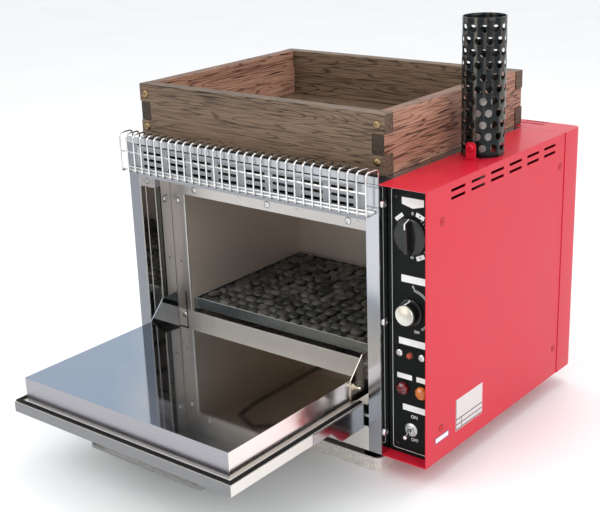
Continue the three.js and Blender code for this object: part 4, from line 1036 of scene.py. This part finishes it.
pentagon = flatPrint(pentagonPlace, (34.5, 14.0))
startEdit(pentagon, "EDGE")
selectEdges(pentagon, lambda a, b: max(a.z, b.z) < pentagonPlace[1] - 3 and abs(a.x - b.x) > 10)
bpy.ops.mesh.subdivide(number_cuts=1)
bpy.ops.mesh.select_mode(type="VERT")
selectVertices(pentagon, lambda point: point.z < pentagonPlace[1] - 3 and abs(point.x - pentagonPlace[0]) > 10)
shift((0, 0, pentagonShoulder))
endEdit()
marks = [pentagon]
for plate in (
        ((middle - 18.3, timer + 24.6), (14.5, 5.4), 39), (patchHigh, (13.5, 6.0), -22), (patchLow, (13.5, 6.2), 25),
        ((280.2, 299.8), (39.0, 10.2)), ((middle + 5.2, thermostat + 33.2), (0.6, 4.4), -6),
        ((279.3, 207.6), (46.5, 9.8)), ((265.2, 154.6), (24.5, 7.6), 0, 0.8), ((293.6, 154.8), (18.0, 7.6), 0, 0.8),
        ((281.8, 107.8), (39.5, 9.2))):
    marks.append(flatPrint(*plate))
for word in (("0", (middle + 2.6, timer + 32.0), 4.6), ("60", (middle + 1.8, timer - 29.5), 3.6),
             ("0", (middle + 3.4, thermostat + 36.6), 4.2), ("200", (middle + 9.0, thermostat - 27.6), 4.2),
             ("ON", (281.0, 95.4), 5.0), ("OFF", (281.6, 59.8), 5.0)):
    marks.append(wordPiece(*word))
for i in range(11):
    turn = tickStart + i * tickPitch
    x, z = middle + math.sin(math.radians(turn)) * tickRadius, timer + math.cos(math.radians(turn)) * tickRadius
    if x < tickLimit:
        marks.append(flatPrint((x, z), (0.6, 2.2), -turn))
for radius in (28.2, 30.4):
    marks.append(arcLine((middle + 2, thermostat + 3), radius, 6, 150, 0.55))
dress(joinAll("panelPrint", marks), "cabinet", "black_panel", "print")
dots = [flatPrint(place, (2.4, 2.4), 0, 1.1, 0.1) for place in (patchHigh, patchLow)]
dress(joinAll("panelDots", dots), "cabinet", "black_panel", "dotInk")

# pale line round the panel
line = {"width": 0.6, "inset": 5.8, "corner": 3.5, "rise": 0.12}
low, high, centre = boxOf("control_panel")
outline = uprightSheet("panelOutline", (centre.x, low.y - film / 2, centre.z),
                       high.x - low.x - 2 * line["inset"], high.z - low.z - 2 * line["inset"])
startEdit(outline, "VERT", "SELECT")
bpy.ops.mesh.bevel(offset=line["corner"] * mm, segments=5, affect="VERTICES")
bpy.ops.mesh.select_mode(type="FACE")
bpy.ops.mesh.select_all(action="SELECT")
bpy.ops.mesh.inset(thickness=line["width"] * mm)
bpy.ops.mesh.delete(type="FACE")
endEdit()
useModifier(outline, "SOLIDIFY", thickness=line["rise"] * mm, offset=0)
dress(outline, "cabinet", "black_panel", "print")
print("panel printed")

# timer knob: flat skirt, a wing across it and a white pointer
knobSizes = {"skirt": 26.0, "skirtRise": 5.0, "wing": 10.0, "wingHalf": 6.2, "gap": 0.6, "pointerHalf": 0.9}
q = knobSizes
r, rise, wide = q["skirt"], q["skirtRise"], q["pointerHalf"]
knobPlace = (middle, panelFace - q["gap"], timer)
wingFront = rise + q["wing"]
skirt = turnedPiece("timerKnob", [(r * 0.97, 0), (r, 0.8), (r, 3.2), (r * 0.97, 4.2), (r * 0.84, rise),
                                  (r * 0.4, rise * 0.86)], 64)
wing = boxPiece("timerWing", (-q["wingHalf"], -r * 0.985, 2), (q["wingHalf"], r * 0.985, wingFront))
startEdit(wing)
selectFaces(wing, "+z")
resize((0.62, 0.82, 1), (0, 0, wingFront))
bpy.ops.mesh.select_all(action="DESELECT")
selectFaces(wing, "+y")
resize((0.55, 1, 1))
endEdit()
softenEdges(wing, 1.6, 3)
knob = joinAll("timerKnob", [skirt, wing])
smooth(knob, 40)
dress(turnTo(knob, knobPlace, "front"), "timer_dial", "black_plastic", "blackPlastic", "timer_knob")
slope = tiltTo(boxPiece("slope", (-wide, -6.2, -0.3), (wide, 6.4, 0.3)), (0, 23.1, 9.2), 109.5, "X")
pointer = joinAll("timerPointer", [
    slope, boxPiece("front", (-wide, 13, wingFront - 0.3), (wide, 20.9, wingFront + 0.25))])
dress(turnTo(pointer, knobPlace, "front"), "timer_dial", "black_plastic", "print")

# thermostat knob: skirt, fluted body and a brushed cap with its pointer
dialSizes = {"skirt": 19.0, "body": 15.5, "cap": 14.4, "depth": 18.0, "flutes": 28}
d = dialSizes
r, b, cap, depth, flutes = d["skirt"], d["body"], d["cap"], d["depth"], d["flutes"]
dialPlace = (middle, panelFace, thermostat)
dial = turnedPiece("thermostatKnob", [(r * 0.96, 0.6), (r, 1.4), (r, 3.2), (r * 0.95, 4.0), (b * 1.02, 4.3),
                                      (b, depth - 2.6), (b * 0.96, depth - 2.2)], flutes * 4)
startEdit(dial)
selectFaces(dial, test=lambda point: 5 < point.z < depth - 3
            and math.degrees(math.atan2(point.y, point.x)) % (360 / flutes) < 180 / flutes)
bpy.ops.mesh.inset(thickness=0.25 * mm, depth=-0.7 * mm, use_individual=False)
endEdit()
smooth(dial, 25)
dress(turnTo(dial, dialPlace, "front"), "thermostat_dial", "black_plastic", "blackPlastic", "thermostat_knob")
dress(frontPiece("thermostatCap", [(cap, depth - 2.4), (cap, depth - 0.7), (cap * 0.96, depth), (cap * 0.9, depth),
                                   (cap * 0.86, depth - 0.3)], 64, 30, dialPlace),
      "thermostat_dial", "bright_metal", "capMetal")
needle = joinAll("thermostatPointer", [boxPiece("long", (-1, b * 1.03, 4), (1, r * 0.96, 4.6)),
                                       boxPiece("rise", (-1, b * 0.98, 4), (1, b * 1.04, depth - 2.3))])
dress(turnTo(needle, dialPlace, "front"), "thermostat_dial", "black_plastic", "print")

# reset switch: oval plate with two screws and the push button
dress(nodeCopy("reset_switch", 0.3), "cabinet", "black_plastic", "blackPanel", "reset_switch")
plateFace = boxOf("reset_switch")[0].y
screwRow("resetScrews", "pan", "front", [(middle + side * 18.2, plateFace, k["reset"]) for side in (-1, 1)],
         slot="black_plastic")
low, high, centre = boxOf("reset_button")
r, rise = (high.x - low.x) / 2, high.y - low.y
dress(frontPiece("resetButton", [(r * 0.98, 0), (r, 1), (r, rise - 1.2), (r * 0.9, rise - 0.5), (r * 0.62, rise - 0.1),
                                 (r * 0.3, rise)], 28, 40, (centre.x, high.y, centre.z)),
      "button", "red_button", "buttonRed", "reset_button")
dress(frontPiece("buttonCollar", [(5.6, 0), (5.6, 1.0), (5.1, 1.4), (4.6, 1.4), (4.5, 0.2)], 28, 40,
                 (centre.x, plateFace, centre.z)), "cabinet", "black_plastic", "blackPlastic")

# lamps: cut lenses with eight flat sides
r = lampRadius = 10.2
for lamp, name, finish in (("red_lamp", "redLamp", "redLens"), ("amber_lamp", "amberLamp", "amberLens")):
    centre = boxOf(lamp)[2]
    dome = turnedPiece(name, [(r * 0.66, -20), (r * 0.66, 0), (r * 0.9, 0), (r, 2.2), (r * 0.86, 5.4),
                              (r * 0.5, 8.2)], 8)
    softenEdges(dome, 0.2, 2, 12)
    smooth(dome, 12)
    turnTo(dome, (centre.x, panelFace - 0.3, centre.z), "front", 22.5)
    dress(dome, "cabinet", nodeSlots[lamp], finish, lamp)

# toggle switch: ring nut, bushing and bat lever
low, high, centre = boxOf("toggle_nut")
r = (high.x - low.x) / 2
dress(frontPiece("toggleNut", [(r, 0), (r, 0.6), (r * 0.86, 0.8), (r * 0.86, 2.0), (r * 0.8, 2.6), (r * 0.64, 2.6),
                               (r * 0.62, 0.1)], 40, 35, (centre.x, high.y, centre.z)),
      "cabinet", "bright_metal", "wireMetal", "toggle_nut")
dress(nodeCopy("toggle_body", 0.25), "cabinet", "galvanised", "screwMetal", "toggle_body")
leverPivot, leverLean = 1.5, 21.8
bat = turnedPiece("toggleLever", [(1.2, -2.8), (1.8, -1.6), (1.8, 0), (2.2, 6), (3.0, 13), (3.3, 15.6), (3.0, 17.2),
                                  (2.0, 18.1), (0.8, 18.4)], 24)
smooth(bat, 40)
tiltTo(bat, (middle, panelFace - leverPivot, k["toggle"]), 90 + leverLean, "X")
dress(bat, "lever", "bright_metal", "wireMetal", "toggle_lever")
print("controls fitted")


# small plates, gasket and the chimney screw

def sidePlate(name, back, front, low, high, thickness, corner):
    # on the side cover, between two places along y and two heights
    piece = boxPiece(name, (coverFace, back, low), (coverFace + thickness, front, high))
    softenEdges(piece, corner)
    return piece


dress(sidePlate("ratingPlate", -143, -69, 58, 107, 0.3, 0.12), "cabinet", "red_paint", "plateFilm")
lines = [sidePlate("line", *place, 0.38, 0.02) for place in (
    (-142, -70, 59.2, 60.7), (-142, -70, 66.6, 68.0), (-142, -70, 74.8, 76.3), (-127.6, -126.4, 60, 75.2),
    (-142.6, -141.6, 59.2, 106))]
dress(joinAll("plateLines", lines), "cabinet", "red_paint", "dotInk")
dress(sidePlate("labelBorder", -196.8, -162.2, 60.7, 69.3, 0.2, 0.05), "cabinet", "red_paint", "borderInk")
dress(sidePlate("smallLabel", -195.8, -163.2, 61.7, 68.3, 0.3, 0.1), "cabinet", "red_paint", "print")

gasket = nodeCopy("door_gasket")
gasketTop = max(vertex.co.z for vertex in gasket.data.vertices) / mm
startEdit(gasket, "VERT")
selectVertices(gasket, lambda point: point.z > gasketTop - 0.5)
shift((0, 0, -0.7))
endEdit()
softenEdges(gasket, 0.7, 3)
smooth(gasket)
dress(gasket, "door", "rubber", "rubber", "door_gasket")
low, high, centre = boxOf("chimney_bracket")
screwRow("tabScrew", "pan", "front", [(centre.x, low.y + 1.6, high.z - 8)], slot="red_paint", finish="redPaint")
print("plates and gasket placed")

for head in heads.values():
    bpy.data.objects.remove(head)


# floor, light and camera, in metres

clearSelection()
bpy.ops.mesh.primitive_plane_add(size=14, location=(0, 0, 0))
floor = bpy.context.object
floor.name = "studioFloor"
floorFinish, tree, shader = newFinish("studioFloor", (0.92, 0.92, 0.92), 0.6)
tone = cloud(tree, stretched(tree), 3, 2, 0.4)
tree.links.new(colours(tree, tone, [(0.2, (0.91, 0.91, 0.91)), (0.8, (0.94, 0.94, 0.94))]), shader.inputs["Base Color"])
floor.data.materials.append(floorFinish)

world = bpy.data.worlds.new("studio")
bpy.context.scene.world = world
world.use_nodes = True
setInputs(world.node_tree.nodes["Background"], {"Color": (0.96, 0.98, 1.0, 1), "Strength": 1.0})

# light: (place, size, power)
lamps = {
    "keyLight": ((-0.9, -2.0, 2.3), 2.0, 24),
    "sideLight": ((2.4, -0.9, 1.4), 1.5, 15),
    "topLight": ((0.3, 0.9, 2.6), 1.4, 16),
}
aimPlace = Vector((0.04, -0.1, 0.25))
for name, (place, size, power) in lamps.items():
    clearSelection()
    bpy.ops.object.light_add(type="AREA", location=place)
    light = bpy.context.object
    light.name = name
    light.data.shape = "SQUARE"
    light.data.size = size
    light.data.energy = power
    light.rotation_euler = (aimPlace - Vector(place)).to_track_quat("-Z", "Y").to_euler()

cameraSizes = {"place": (1.0946, -1.44053, 0.84667), "azimuth": 39.16097, "elevation": 18.95268, "roll": -2.02326,
               "lens": 70.256, "sensor": 36}
clearSelection()
bpy.ops.object.camera_add()
camera = bpy.context.object
camera.name = "photoCamera"
azimuth, elevation, roll = (math.radians(cameraSizes[key]) for key in ("azimuth", "elevation", "roll"))
back = Vector((math.sin(azimuth) * math.cos(elevation), -math.cos(azimuth) * math.cos(elevation), math.sin(elevation)))
side = Vector((0, 0, 1)).cross(back).normalized()
rise = back.cross(side)
turnedSide = side * math.cos(roll) + rise * math.sin(roll)
turnedRise = rise * math.cos(roll) - side * math.sin(roll)
camera.matrix_world = (Matrix.Translation(cameraSizes["place"])
                       @ Matrix((turnedSide, turnedRise, back)).transposed().to_4x4())
camera.data.lens = cameraSizes["lens"]
camera.data.sensor_width = cameraSizes["sensor"]
bpy.context.scene.camera = camera
bpy.context.scene.view_settings.view_transform = "Standard"

print("scene ready")
